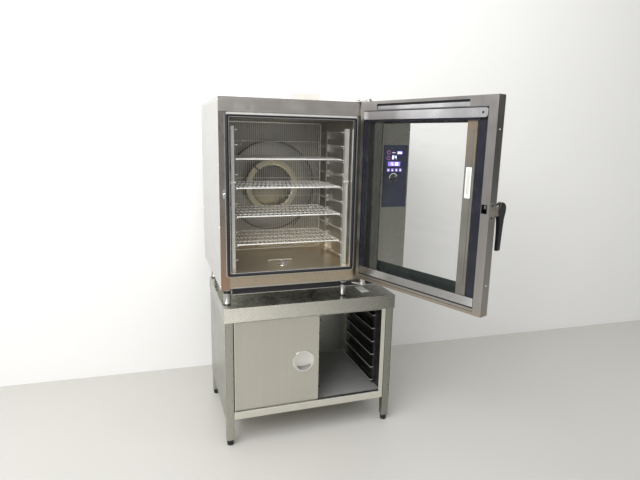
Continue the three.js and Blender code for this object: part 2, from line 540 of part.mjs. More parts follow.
function buildFittings() {
  const { width, depth } = OVEN;
  const pane = cut(
    block(CONTROL_GLASS.x, [0, CONTROL_GLASS.thickness], CONTROL_GLASS.z),
    rod('y', [KNOB.x, KNOB.z], KNOB.shaft + 0.5, [-5, 10], 16),
  );
  add(oven, 'control_glass', pane, PANEL_GLASS);
  add(oven, 'control_electronics', block(ELECTRONICS.x, ELECTRONICS.y, ELECTRONICS.z), BLACK);

  const knob = assembly('knob', oven, [KNOB.x, 0, KNOB.z]);
  const dial = turned('y', [KNOB.x, KNOB.z], [
    [0, -KNOB.length], [KNOB.radius - 2, -KNOB.length], [KNOB.radius, 2 - KNOB.length],
    [KNOB.radius, -4], [KNOB.skirt, -3], [KNOB.skirt, -GAP], [KNOB.shaft, -GAP],
    [KNOB.shaft, ELECTRONICS.y[0] - GAP], [0, ELECTRONICS.y[0] - GAP],
  ], 32);
  const pointer = block(
    [KNOB.x - 1.5, KNOB.x + 1.5], [-KNOB.length - 1.5, -4], [KNOB.z + 2, KNOB.z + KNOB.radius + 1],
  );
  add(knob, 'control_knob', join(dial, pointer), CAST);

  const low = CAVITY.z[1] + SHEET + GAP;
  const vent = cut(
    join(block(VENT.x, VENT.y, VENT.z), rod('z', VENT_AT, VENT.duct, [low, VENT.z[0] + 1], 28)),
    block(grow(VENT.x, -VENT.wall), grow(VENT.y, -VENT.wall), [VENT.z[0] + VENT.wall, VENT.z[1] - VENT.wall]),
    rod('z', VENT_AT, VENT.duct - SHEET, [low - 1, VENT.z[0] + 5], 28),
    block(grow(VENT.x, -VENT.rim), grow(VENT.y, -VENT.rim), [VENT.z[0] + VENT.skirt, VENT.z[1] + 1]),
  );
  add(oven, 'vent_box', vent, BRIGHT);

  for (const [label, i, j] of CORNERS) {
    const foot = turned('z', [FOOT.x[i], FOOT.y[j]], [
      [0, GAP - FOOT.height], [FOOT.sole, GAP - FOOT.height], [FOOT.sole, 14 - FOOT.height],
      [FOOT.neck, 18 - FOOT.height], [FOOT.neck, 24 - FOOT.height],
      [FOOT.radius, 26 - FOOT.height], [FOOT.radius, -6], [FOOT.collar, -5], [FOOT.collar, -GAP], [0, -GAP],
    ], 16);
    add(oven, 'oven_foot_' + label, foot, BRIGHT);
  }

  const valve = join(
    block(grow([INLET.x, INLET.x], INLET.half), INLET.y, grow([INLET.z, INLET.z], INLET.half)),
    rod('y', [INLET.x, INLET.z], INLET.thread, [INLET.y[1] - 1, INLET.end], 24),
    rod(
      'z', [INLET.x, INLET.y[0] + INLET_COIL.setBack], INLET_COIL.radius,
      [INLET.z + INLET.half - 1, INLET.z + INLET.half + INLET_COIL.rise], 20,
    ),
  );
  add(oven, 'water_inlet_valve', valve, COPPER);

  const gland = join(
    rod('y', [GLAND.x, GLAND.z], GLAND.neck, [depth - 14, depth + 2], 20),
    rod('y', [GLAND.x, GLAND.z], GLAND.nut, [depth + GAP, depth + 10], 6),
    turned('y', [GLAND.x, GLAND.z], [
      [0, depth + 9], [GLAND.dome, depth + 9], [GLAND.dome, GLAND.end - 6], [GLAND.dome - 5, GLAND.end],
      [0, GLAND.end],
    ], 20),
  );
  add(oven, 'cable_gland', gland, BLACK);

  const { plate: half, neck, head, y } = STRIKER;
  const striker = join(
    block(grow([STRIKER.x, STRIKER.x], half), [-3, -GAP], grow([STRIKER.z, STRIKER.z], half)),
    rod('y', [STRIKER.x, STRIKER.z], neck, [y[0] + 1, -2], 16),
    turned('y', [STRIKER.x, STRIKER.z], [
      [0, y[0]], [head - 2, y[0]], [head, y[0] + 2], [head, y[1]], [0, y[1]],
    ], 20),
  );
  add(oven, 'latch_striker', striker, BRIGHT);

  const pivot = [DOOR_AT[0] - OVEN.at[0], DOOR_AT[1] - OVEN.at[1]];
  const outline = (rear) => {
    const nose = circle(pivot, HINGE_PLATE.tip, 24).filter((p) => p[1] < pivot[1] + 1);
    nose.sort((a, b) => a[0] - b[0]);
    const [from, to] = HINGE_PLATE.x;
    return [[from, rear], [from, -8], ...nose, [to, -8], [to, rear]];
  };
  const topZ = OVEN.height + GAP;
  const doorLow = DOOR.low - OVEN.at[2];
  const doorTop = doorLow + DOOR.height;
  const upper = join(
    plate('z', outline(HINGE_PLATE.upper), [topZ, topZ + PIVOT.plate]),
    rod('z', pivot, PIVOT.pin, [doorTop - 22, topZ + 8], 24),
    turned('z', pivot, [
      [0, topZ + 5], [PIVOT.head, topZ + 5], [PIVOT.head, topZ + 13], [PIVOT.head - 3, topZ + 17],
      [0, topZ + 17],
    ], 24),
  );
  add(oven, 'upper_hinge_bracket', upper, STEEL);
  const lower = join(
    plate('z', outline(HINGE_PLATE.lower), [-PIVOT.plate - GAP, -GAP]),
    rod('z', pivot, PIVOT.collar, [-1, doorLow - 0.6], 24),
    rod('z', pivot, PIVOT.pin, [-1, doorLow + 22], 24),
    rod('z', pivot, PIVOT.head, [-PIVOT.plate - 6, -PIVOT.plate], 6),
  );
  add(oven, 'lower_hinge_bracket', lower, STEEL);
}

function buildRacks() {
  const levels = Array.from({ length: LEVEL.count }, (_, i) => LEVEL.first + i * LEVEL.pitch);
  const floor = CAVITY.z[0] + GAP;
  const half = RACK.rim / 2;
  for (const label of ['left', 'right']) {
    const front = SUPPORT_POST[label];
    const rear = SUPPORT_REAR[label];
    const inner = label === 'left' ? front[1] : front[0];
    const way = label === 'left' ? 1 : -1;
    const span = (from, to) => [inner + way * from, inner + way * to].sort((a, b) => a - b);
    const posts = [
      block(front, SUPPORT.y, [floor, SUPPORT.top]),
      block(rear, SUPPORT.rear, [floor, SUPPORT.top]),
    ];
    const lows = levels.flatMap((level) => [level - half - GAP - SUPPORT.wire, level - half + LEDGE_GAP]);
    const ledges = lows.flatMap((low) => [
      block(span(-3, SUPPORT.reach), SUPPORT.ledge, [low, low + SUPPORT.wire]),
      block(span(-17, 1), SUPPORT.rear, [low, low + SUPPORT.wire]),
    ]);
    const groove = block(grow(front, -8), [SUPPORT.y[0] - 1, SUPPORT.y[0] + 6], [floor + 8, SUPPORT.top - 8]);
    const frame = join(...posts, ...ledges);
    add(oven, 'rack_support_' + label, label === 'left' ? frame : cut(frame, groove), BRIGHT);
  }

  LEVEL.loaded.forEach((index, i) => {
    const level = levels[index];
    const rack = assembly('rack_' + (i + 1), oven, [RACK.x[0], RACK.y[0], level]);
    const rim = cut(
      block(RACK.x, RACK.y, [level - half, level + half]),
      block(grow(RACK.x, -RACK.rim), grow(RACK.y, -RACK.rim), [level - 20, level + 20]),
    );
    const inside = grow(RACK.x, -RACK.rim - 20);
    const wires = evenly(inside, RACK.wires).map((x) => block(
      [x - RACK.wire / 2, x + RACK.wire / 2], grow(RACK.y, -RACK.rim + 1), [level - 0.6, level + half - 0.8],
    ));
    const across = evenly(grow(RACK.y, -80), RACK.cross).map((y) => block(
      grow(RACK.x, -RACK.rim + 1), [y - RACK.wire / 2, y + RACK.wire / 2], [level - half + 0.8, level],
    ));
    add(rack, 'wire_rack_' + (i + 1), join(rim, ...wires, ...across), BRIGHT);
  });
}

// ---- Door ----
// s runs from the hinge edge, t from the inner face outwards; shut, the door lies along -X.
const door = assembly('door', part, [DOOR_AT[0], DOOR_AT[1], DOOR.low]);
door.userData.origin = [0, 0, 0];
door.rotation.z = THREE.MathUtils.degToRad(DOOR.open);

function along([from, to]) {
  return [DOOR.hinge[0] - to, DOOR.hinge[0] - from];
}

function through([from, to]) {
  return [DOOR.hinge[1] - to, DOOR.hinge[1] - from];
}

function slab(s, t, z) {
  return block(along(s), through(t), z);
}

function sideways(outline, s) {
  return plate('x', outline.map(([t, z]) => [DOOR.hinge[1] - t, z]), along(s));
}

function buildDoor() {
  const { width, height } = DOOR;
  const { depth, wall, chamfer, seat } = FRAME;
  const corner = (reach) => plate('z', [
    [DOOR.hinge[0] + 1, DOOR.hinge[1] + 1],
    [DOOR.hinge[0] + 1, DOOR.hinge[1] - reach - 1],
    [DOOR.hinge[0] - reach - 1, DOOR.hinge[1] + 1],
  ], [-1, height + 1]);
  const backing = chamfer + wall * 1.5;
  const thickCorner = plate('z', [
    [DOOR.hinge[0], DOOR.hinge[1]],
    [DOOR.hinge[0], DOOR.hinge[1] - backing],
    [DOOR.hinge[0] - backing, DOOR.hinge[1]],
  ], [0, height]);
  const ring = cut(
    slab([0, width], [0, depth], [0, height]),
    slab(FRAME_WINDOW.s, [-1, depth + 1], FRAME_WINDOW.z),
    slab(FRAME_FACE.s, [-1, seat], FRAME_FACE.z),
  );
  const deepGutter = cut(
    slab([wall, width - wall], [seat + wall, depth + 1], [wall, height - wall]),
    slab(grow(FRAME_WINDOW.s, wall), [0, depth + 2], grow(FRAME_WINDOW.z, wall)),
  );
  const faceGutter = cut(
    slab([wall, width - wall], [wall, seat + wall + 1], [wall, height - wall]),
    slab(grow(FRAME_FACE.s, wall), [0, seat + wall + 2], grow(FRAME_FACE.z, wall)),
  );
  const pinHoles = rod('z', [0, 0], PIVOT.bore, [-5, height + 5], 24);
  const glassHinge = [DOOR.hinge[0] - INNER_GLASS.hinge[0], DOOR.hinge[1] - INNER_GLASS.hinge[1]];
  const frame = cut(
    join(cut(ring, deepGutter, faceGutter), thickCorner),
    corner(chamfer),
    pinHoles,
    slab(RAIL_SLOT.s, [-1, wall + 0.5], RAIL_SLOT.z),
    slab(LATCH_SLOT.s, [-1, wall + 0.5], LATCH_SLOT.z),
    rod('z', glassHinge, GLASS_PIN.bore, [FRAME_FACE.z[0] - 4, FRAME_FACE.z[0] + 1], 12),
    rod('z', glassHinge, GLASS_PIN.bore, [FRAME_FACE.z[1] - 1, FRAME_FACE.z[1] + 4], 12),
  );
  add(door, 'door_frame', frame, STEEL);

  const [near, far] = OUTER_GLASS.t;
  const edge = OUTER_GLASS.chamfer;
  const pane = [
    [0, near], [width, near], [width, far - edge], [width - edge, far], [edge, far], [0, far - edge],
  ].map(([s, t]) => [DOOR.hinge[0] - s, DOOR.hinge[1] - t]);
  add(door, 'door_outer_glass', plate('z', pane, [0, height]), GLASS);

  const ledZ = grow(FRAME_WINDOW.z, -GAP);
  for (const [label, s] of [['hinge_side', LED.hinge], ['latch_side', LED.latch]]) {
    const lens = slab(grow(s, -LED.setIn), [LED.t[0] - 2, LED.t[0] + 1], grow(ledZ, -LED.short));
    add(door, 'led_strip_' + label, join(slab(s, LED.t, ledZ), lens), LAMP);
  }

  const leaf = assembly('inner_glass', door, [...glassHinge, 0]);
  add(leaf, 'door_inner_glass', slab(INNER_GLASS.s, INNER_GLASS.t, INNER_GLASS.z), GLASS);
  const [from, to] = INNER_GLASS.s;
  const nose = (z) => [
    [from, z[0]], [to - TOP_BAR.nose, z[0]], [to - 3, z[0] + 4], [to, z[0] + TOP_BAR.nose],
    [to, z[1] - TOP_BAR.nose], [to - 3, z[1] - 4], [to - TOP_BAR.nose, z[1]], [from, z[1]],
  ].map(([s, up]) => [DOOR.hinge[0] - s, up]);
  const topBar = join(
    plate('y', nose(TOP_BAR.z), through(TOP_BAR.t)),
    rod('z', glassHinge, GLASS_PIN.radius, [TOP_BAR.z[1] - 2, TOP_BAR.z[1] + 4], 12),
  );
  add(leaf, 'inner_glass_top_bar', topBar, BRIGHT);
  const bottomBar = join(
    slab(INNER_GLASS.s, BOTTOM_BAR.t, BOTTOM_BAR.z),
    rod('z', glassHinge, GLASS_PIN.radius, [BOTTOM_BAR.z[0] - 4, BOTTOM_BAR.z[0] + 2], 12),
  );
  add(leaf, 'inner_glass_bottom_bar', bottomBar, BRIGHT);
}

function buildHandle() {
  const { pivot, s, bevel, slot, boss, slim } = HANDLE;
  const [t0, z0] = pivot;
  const { t, z, waist } = BRACKET;
  const arm = [
    [t[0], z[0] + 4], [t[0] + 4, z[0]], [18, z[0]], [26, waist[0]], [44, waist[0]], [t[1], z[0] + 12],
    [t0, z0 - boss], [t0 + boss, z0], [t0, z0 + boss],
    [t[1], z[1] - 10], [44, waist[1]], [26, waist[1]], [18, z[1]], [t[0] + 4, z[1]], [t[0], z[1] - 4],
  ];
  add(door, 'door_handle_bracket', sideways(arm, BRACKET.s), STEEL);

  const handle = assembly('handle', door, [
    DOOR.hinge[0] - (s[0] + s[1]) / 2, DOOR.hinge[1] - t0, z0,
  ]);
  const line = new THREE.SplineCurve([
    [72, 262], [73, 300], [73.5, 340], [72, 375], [66, 398], [61, 416], [61, 434], [67, 448],
    [79, 455], [93, 451], [103, 440], [105.5, 425], [102, 408], [97, 390], [94.5, 360], [93.5, 310],
    [92, 262],
  ].map(([a, b]) => new THREE.Vector2(DOOR.hinge[1] - a, b)));
  const outline = new THREE.Shape(line.getPoints(32));
  const body = new THREE.ExtrudeGeometry(outline, {
    depth: s[1] - s[0] - 2 * bevel,
    bevelThickness: bevel,
    bevelSize: bevel,
    bevelOffset: -bevel,
    bevelSegments: 2,
  });
  body.translate(0, 0, DOOR.hinge[0] - s[1] + bevel);
  body.applyMatrix4(new THREE.Matrix4().makeBasis(...AXES.x));
  const places = body.attributes.position;
  const middle = DOOR.hinge[0] - (s[0] + s[1]) / 2;
  for (let i = 0; i < places.count; i += 1) {
    const width = THREE.MathUtils.lerp(slim, 1, THREE.MathUtils.smoothstep(places.getZ(i), ...HANDLE.z));
    places.setX(i, middle + (places.getX(i) - middle) * width);
  }
  const mouth = [(BRACKET.s[0] + BRACKET.s[1]) / 2 - slot / 2, (BRACKET.s[0] + BRACKET.s[1]) / 2 + slot / 2];
  const grip = cut(
    solid(body),
    slab(mouth, [t0 - 30, t0 + boss + 5], [z0 - 24, z0 + 22]),
  );
  add(handle, 'door_handle_grip', grip, BLACK);

  const [ht, hz] = HOOK.pivot;
  const latch = assembly('latch', door, [
    DOOR.hinge[0] - (HOOK.s[0] + HOOK.s[1]) / 2, DOOR.hinge[1] - ht, hz,
  ]);
  const hook = [
    [ht, hz - HOOK.boss], [ht + HOOK.boss, hz], [ht + HOOK.boss, HOOK.arm], [ht - 4, HOOK.top],
    [HOOK_NOSE.t[0] + 3, HOOK.top], [HOOK_NOSE.t[0], HOOK.top - 4], [HOOK_NOSE.t[0], HOOK.tip + 3],
    [HOOK_NOSE.t[1] - 2, HOOK.tip], [HOOK_NOSE.t[1], HOOK.tip], [HOOK_NOSE.t[1], HOOK.arm],
    [ht - HOOK.boss - 2, HOOK.arm], [ht - HOOK.boss, hz],
  ];
  add(latch, 'latch_hook', sideways(hook, HOOK.s), STEEL);
}

buildStand();
buildShell();
buildCavity();
buildFittings();
buildRacks();
buildDoor();
buildHandle();

// The part's origin is the middle of its footprint, at floor level.
part.updateMatrixWorld(true);
const extent = new THREE.Box3().setFromObject(part, true);
const middle = extent.getCenter(new THREE.Vector3());
const group = new THREE.Group();
group.name = 'combi_steamer';
part.position.set(-middle.x, -middle.y, -extent.min.z);
group.add(part);

export default group;
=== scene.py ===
import json
import math

import bpy
from mathutils import Matrix, Vector


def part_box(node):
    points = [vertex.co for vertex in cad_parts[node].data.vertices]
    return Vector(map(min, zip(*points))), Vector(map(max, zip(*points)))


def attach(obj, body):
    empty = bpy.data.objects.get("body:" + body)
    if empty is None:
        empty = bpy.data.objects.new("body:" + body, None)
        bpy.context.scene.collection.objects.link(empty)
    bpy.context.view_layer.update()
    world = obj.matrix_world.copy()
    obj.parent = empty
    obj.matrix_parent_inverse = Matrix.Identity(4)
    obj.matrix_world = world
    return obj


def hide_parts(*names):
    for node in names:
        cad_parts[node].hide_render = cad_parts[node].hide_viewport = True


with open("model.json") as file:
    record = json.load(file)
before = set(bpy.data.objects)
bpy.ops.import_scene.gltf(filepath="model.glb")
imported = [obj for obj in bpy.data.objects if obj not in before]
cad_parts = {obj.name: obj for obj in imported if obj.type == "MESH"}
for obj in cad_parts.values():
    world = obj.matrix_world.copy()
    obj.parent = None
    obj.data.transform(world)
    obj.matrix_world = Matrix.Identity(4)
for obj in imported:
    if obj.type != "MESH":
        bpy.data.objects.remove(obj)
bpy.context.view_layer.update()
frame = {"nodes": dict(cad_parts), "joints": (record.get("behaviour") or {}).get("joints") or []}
JOINTS = {joint["name"]: joint for joint in frame["joints"]}
MM = 0.001


# ---- Places: millimetre frames of the oven, the stand and the door ----
OVEN_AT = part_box("top_cover")[0].copy()
OVEN_AT.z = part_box("left_side_panel")[0].z
OVEN_AT.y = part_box("front_header")[0].y
STAND_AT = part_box("stand_top")[0].copy()
STAND_AT.z = 0.0
HINGE = JOINTS["door_hinge"]
PIN = Vector(HINGE["pos_m"])
OPEN = math.radians(-HINGE["range_deg"][0])
ALONG = Vector((-math.cos(OPEN), -math.sin(OPEN), 0))
OUTWARD = Vector((math.sin(OPEN), -math.cos(OPEN), 0))
PIN_INSET = 28.8
DOOR_WIDTH = 728
PIN_DEPTH = 28.0


def oven(x, y, z):
    """A point in the oven's frame: from its lower front left corner, in millimetres."""
    return OVEN_AT + Vector((x, y, z)) * MM


def stand(x, y, z):
    """A point in the stand's frame: from its front left corner on the floor."""
    return STAND_AT + Vector((x, y, z)) * MM


def door(s, t, z):
    """A point in the door's frame: along from the hinge edge, outward, and up."""
    flat = ALONG * (s - PIN_INSET) * MM + OUTWARD * (t - PIN_DEPTH) * MM
    return PIN + flat + Vector((0, 0, z * MM))


# ---- Mesh code ----
CORNER_STEPS = 6
BEVEL_ANGLE = 30


class Shape:
    """Vertices and faces, collected in a millimetre frame, then made into one object."""

    def __init__(self, place):
        self.place = place
        self.verts = []
        self.faces = []

    def add(self, verts, faces):
        base = len(self.verts)
        self.verts += [tuple(v) for v in verts]
        self.faces += [tuple(base + i for i in face) for face in faces]

    def rings(self, rings, closed):
        """Skins a list of equal rings of points; an open run gets end caps."""
        sides = len(rings[0])
        verts = [point for ring in rings for point in ring]
        faces = []
        for i in range(len(rings) if closed else len(rings) - 1):
            a = i * sides
            b = ((i + 1) % len(rings)) * sides
            for j in range(sides):
                k = (j + 1) % sides
                faces.append((a + j, a + k, b + k, b + j))
        if not closed:
            faces.append(tuple(range(sides - 1, -1, -1)))
            faces.append(tuple((len(rings) - 1) * sides + j for j in range(sides)))
        self.add(verts, faces)

    def block(self, x, y, z):
        ring = [(x[0], y[0]), (x[1], y[0]), (x[1], y[1]), (x[0], y[1])]
        self.rings([[(a, b, h) for a, b in ring] for h in z], False)

    def tube(self, path, radius, sides=8, closed=False):
        """A round bar along a line of points."""
        points = [Vector(p) for p in path]
        count = len(points)
        steps = [(points[(i + 1) % count] - points[i]).normalized() for i in range(count)]
        if not closed:
            steps[-1] = steps[-2]
        side = steps[0].orthogonal().normalized()
        rings = []
        for i, point in enumerate(points):
            before = steps[i - 1] if closed or i > 0 else steps[0]
            along = (before + steps[i]).normalized()
            side = (side - along * side.dot(along)).normalized()
            other = along.cross(side)
            ring = []
            for j in range(sides):
                angle = 2 * math.pi * j / sides
                ring.append(point + (side * math.cos(angle) + other * math.sin(angle)) * radius)
            rings.append(ring)
        self.rings(rings, closed)

    def turned(self, axis, centre, profile, sides=32):
        """A profile of (radius, along) pairs turned about a line parallel to an axis."""
        order = {"x": (2, 0, 1), "y": (0, 2, 1), "z": (0, 1, 2)}[axis]
        centre = Vector(centre)
        rings = []
        for radius, reach in profile:
            ring = []
            for j in range(sides):
                angle = 2 * math.pi * j / sides
                flat = (radius * math.cos(angle), radius * math.sin(angle), reach)
                ring.append(centre + Vector([flat[order[i]] for i in range(3)]))
            rings.append(ring)
        self.rings(rings, False)

    def loop(self, x, z, y, section, radius):
        """A section of (out, along y) pairs swept round a rounded rectangle in the x, z plane."""
        corners = [(x[0], z[0]), (x[1], z[0]), (x[1], z[1]), (x[0], z[1])]
        rings = []
        for cx, cz in corners:
            sx = -1 if cx == x[0] else 1
            sz = -1 if cz == z[0] else 1
            hub = (cx - sx * radius, cz - sz * radius)
            start = math.atan2(sz, sx) - math.pi / 4
            for k in range(CORNER_STEPS + 1):
                angle = start + math.pi / 2 * k / CORNER_STEPS
                way = (math.cos(angle), math.sin(angle))
                ring = [
                    (hub[0] + way[0] * (radius + out), y + rise, hub[1] + way[1] * (radius + out))
                    for out, rise in section
                ]
                rings.append(ring)
        self.rings(rings, True)

    def make(self, name, material, body, stands_for=(), slot=None, sharp=35, bevel=0.0):
        mesh = bpy.data.meshes.new(name)
        mesh.from_pydata([self.place(*v) for v in self.verts], [], self.faces)
        mesh.validate()
        mesh.polygons.foreach_set("use_smooth", [True] * len(mesh.polygons))
        mesh.set_sharp_from_angle(angle=math.radians(sharp))
        mesh.materials.append(material)
        piece = bpy.data.objects.new(name, mesh)
        bpy.context.scene.collection.objects.link(piece)
        if bevel:
            soften(piece, bevel)
        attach(piece, body)
        if stands_for:
            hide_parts(*stands_for)


def soften(piece, width):
    """Rounds a piece's edges by a width in millimetres."""
    bevel = piece.modifiers.new("soft_edges", "BEVEL")
    bevel.width = width * MM
    bevel.segments = 2
    bevel.limit_method = "ANGLE"
    bevel.angle_limit = math.radians(BEVEL_ANGLE)
    bevel.harden_normals = True


def slabs(name, place, material, body, slot, bevel, *blocks):
    """One piece made of plain blocks, each given as its x, y and z spans."""
    shape = Shape(place)
    for spans in blocks:
        shape.block(*spans)
    shape.make(name, material, body, slot=slot, bevel=bevel)


def flat_band(shape, centre, radii, start, end, y):
    """A thin printed band along an arc, seen from the front."""
    outer, inner = (arc(centre, radius, start, end, 24) for radius in radii)
    shape.rings([[(o[0], y[0], o[1]), (i[0], y[0], i[1]), (i[0], y[1], i[1]), (o[0], y[1], o[1])]
                 for o, i in zip(outer, inner)], False)


def arc(centre, radius, start, end, steps):
    """Points of an arc in a plane, angles in degrees."""
    points = []
    for i in range(steps + 1):
        angle = math.radians(start + (end - start) * i / steps)
        points.append((centre[0] + radius * math.cos(angle), centre[1] + radius * math.sin(angle)))
    return points


# ---- Materials ----
class Nodes:
    """A material's node tree round one Principled shader."""

    def __init__(self, name):
        self.material = bpy.data.materials.new(name)
        self.material.use_nodes = True
        self.tree = self.material.node_tree
        self.shader = self.tree.nodes["Principled BSDF"]
        self.place = self.make("ShaderNodeTexCoord").outputs["Object"]

    def make(self, kind, **settings):
        node = self.tree.nodes.new(kind)
        for key, value in settings.items():
            setattr(node, key, value)
        return node

    def link(self, out, into):
        self.tree.links.new(out, into)

    def feed(self, node, values):
        """Sets or links a node's inputs, by name or by number."""
        for key, value in values.items():
            if isinstance(value, (int, float, tuple)):
                node.inputs[key].default_value = value
            else:
                self.link(value, node.inputs[key])

    def stretched(self, scale):
        node = self.make("ShaderNodeMapping")
        self.feed(node, {"Scale": scale, "Vector": self.place})
        return node.outputs["Vector"]

    def noise(self, vector, scale, detail=3.0, rough=0.5):
        node = self.make("ShaderNodeTexNoise")
        self.feed(node, {"Scale": scale, "Detail": detail, "Roughness": rough, "Vector": vector})
        return node.outputs["Fac"]

    def spread(self, value, low, high, to_low=0.0, to_high=1.0):
        node = self.make("ShaderNodeMapRange")
        self.feed(node, {"From Min": low, "From Max": high, "To Min": to_low, "To Max": to_high,
                         "Value": value})
        return node.outputs["Result"]

    def blend(self, share, first, second):
        node = self.make("ShaderNodeMix", data_type="RGBA")
        first, second = ((*c, 1.0) if isinstance(c, tuple) else c for c in (first, second))
        self.feed(node, {0: share, 6: first, 7: second})
        return node.outputs[2]

    def maths(self, operation, first, second=0.0):
        node = self.make("ShaderNodeMath", operation=operation)
        self.feed(node, {0: first, 1: second})
        return node.outputs[0]

    def axis(self, name):
        node = self.make("ShaderNodeSeparateXYZ")
        self.link(self.place, node.inputs[0])
        return node.outputs[name]

    def normal_x(self):
        place = self.make("ShaderNodeTexCoord")
        split = self.make("ShaderNodeSeparateXYZ")
        self.link(place.outputs["Normal"], split.inputs[0])
        return split.outputs["X"]

    def reflection_along_door(self, reflection_tones):
        """A painted reflection: a tone that follows (share of the door's width, value) pairs."""
        dot = self.make("ShaderNodeVectorMath", operation="DOT_PRODUCT")
        self.link(self.place, dot.inputs[0])
        dot.inputs[1].default_value = ALONG
        near = door(0, 0, 0).dot(ALONG)
        ramp = self.make("ShaderNodeValToRGB")
        points = ramp.color_ramp.elements
        while len(points) < len(reflection_tones):
            points.new(0.5)
        for point, (place, value) in zip(points, reflection_tones):
            point.position = place
            point.color = (value, value, value, 1.0)
        share = self.spread(dot.outputs["Value"], near, near + DOOR_WIDTH * MM)
        self.link(share, ramp.inputs["Fac"])
        return ramp.outputs["Color"]

    def bump(self, height, strength, distance=0.0004):
        node = self.make("ShaderNodeBump")
        self.feed(node, {"Strength": strength, "Distance": distance, "Height": height})
        self.link(node.outputs["Normal"], self.shader.inputs["Normal"])

    def finish(self, colour, roughness, **constants):
        self.link(colour, self.shader.inputs["Base Color"])
        self.link(roughness, self.shader.inputs["Roughness"])
        for key, value in constants.items():
            self.shader.inputs[key.replace("_", " ")].default_value = value
        return self.material


GRAINS = {"x": (0.8, 240, 240), "y": (240, 0.8, 240), "z": (240, 240, 0.8)}
WARM = (0.46, 0.29, 0.20)
TAWNY = (0.40, 0.325, 0.23)
STRAW = (0.84, 0.71, 0.52)


def shaded(colour, share):
    """A colour made darker or lighter."""
    return tuple(c * share for c in colour)


def steel(name, colour, rough=0.3, grain="z", bump=0.08, cloud=0.05, low_warmth=None, painted_falloff=None, reflection_bands=None,
          left_face_shade=None, metal=1.0):
    """Brushed stainless steel: fine grain along one axis, clouded, smudged and scuffed.

    `low_warmth` tints it between two heights, `painted_falloff` paints shade that darkens it along x from
    one place to another,
    `reflection_bands` paints reflections as bands of tone along the door's width, and `left_face_shade`
    paints shade on the faces that look left.
    """
    n = Nodes(name)
    grained = n.noise(n.stretched(GRAINS[grain]), 1.0, 4.0, 0.6)
    streak = n.noise(n.stretched(tuple(g * 0.22 for g in GRAINS[grain])), 1.0, 3.0)
    patch = n.noise(n.place, 3.1, 4.0, 0.55)
    smudge = n.noise(n.place, 17.0, 5.0, 0.6)
    base = n.blend(n.spread(streak, 0.3, 0.7), shaded(colour, 1 - cloud), shaded(colour, 1 + cloud * 0.6))
    base = n.blend(n.spread(patch, 0.35, 0.7, 0.0, 0.6), base, shaded(colour, 1 - 2.2 * cloud))
    base = n.blend(n.spread(grained, 0.3, 0.75, 0.0, 0.25), base, shaded(colour, 1.06))
    if low_warmth:
        low, high, amount, hue = low_warmth
        height = n.spread(n.axis("Z"), high, low, 0.0, amount)
        warm = n.maths("MULTIPLY", height, n.spread(patch, 0.1, 0.6, 0.6, 1.0))
        base = n.blend(warm, base, hue)
    # Painted shade: the colour darkens along x from the lighter place to the darker one.
    if painted_falloff:
        light_at, dark_at, share = painted_falloff
        base = n.blend(n.spread(n.axis("X"), light_at, dark_at), base, shaded(colour, share))
    # Painted shade: faces that look left are darkened.
    if left_face_shade:
        base = n.blend(n.spread(n.normal_x(), -0.6, -0.9), base, shaded(colour, left_face_shade))
    # Painted reflection: bands of light and dark tone across the door's width take the place of the colour.
    if reflection_bands:
        base = n.blend(n.reflection_along_door(reflection_bands), shaded(colour, 0.4), shaded(colour, 1.15))
    worn = n.spread(smudge, 0.42, 0.66, -0.03, 0.05)
    rubbed = n.maths("ADD", worn, n.spread(grained, 0.2, 0.8, -0.03, 0.03))
    n.bump(n.maths("ADD", grained, n.maths("MULTIPLY", smudge, 0.2)), bump, 0.0002)
    return n.finish(base, n.maths("ADD", rubbed, rough), Metallic=metal)


def coated(name, colour, rough, grain_scale=700.0, bump=0.25, variation=0.15, **constants):
    """Moulded plastic, rubber or paint: fine mottled grain, with dusty lighter patches."""
    n = Nodes(name)
    fine = n.noise(n.place, grain_scale, 3.0)
    patch = n.noise(n.place, 9.0, 4.0, 0.6)
    base = n.blend(n.spread(patch, 0.35, 0.7), shaded(colour, 1 - variation), shaded(colour, 1 + variation))
    base = n.blend(n.spread(fine, 0.4, 0.7, 0.0, 0.35), base, shaded(colour, 1.35))
    roughness = n.spread(patch, 0.3, 0.7, rough - 0.06, rough + 0.08)
    n.bump(fine, bump, 0.0002)
    return n.finish(base, roughness, **constants)


def pane(name, tint, smear=0.05, rough=0.03, alpha=0.09):
    """Clear glass with faint wiping smears and spots."""
    n = Nodes(name)
    wipe = n.noise(n.stretched((4, 4, 14)), 1.0, 5.0, 0.65)
    spots = n.noise(n.place, 60.0, 3.0, 0.7)
    base = n.blend(n.spread(spots, 0.4, 0.8), tint, shaded(tint, 1.2))
    n.finish(base, n.spread(wipe, 0.45, 0.75, rough, rough + 0.1), IOR=1.5)
    n.link(n.spread(wipe, 0.42, 0.8, alpha, alpha + smear), n.shader.inputs["Alpha"])
    return n.material


def glowing(name, colour, strength):
    """A lit surface that gives off a little light of its own; on printed marks and on the plate on the stand
    top the glow is painted light.
    """
    n = Nodes(name)
    fine = n.noise(n.place, 900.0, 2.0)
    base = n.blend(n.spread(fine, 0.3, 0.7), shaded(colour, 0.85), colour)
    n.link(base, n.shader.inputs["Emission Color"])
    return n.finish(base, n.spread(fine, 0.3, 0.7, 0.25, 0.4), Emission_Strength=strength)


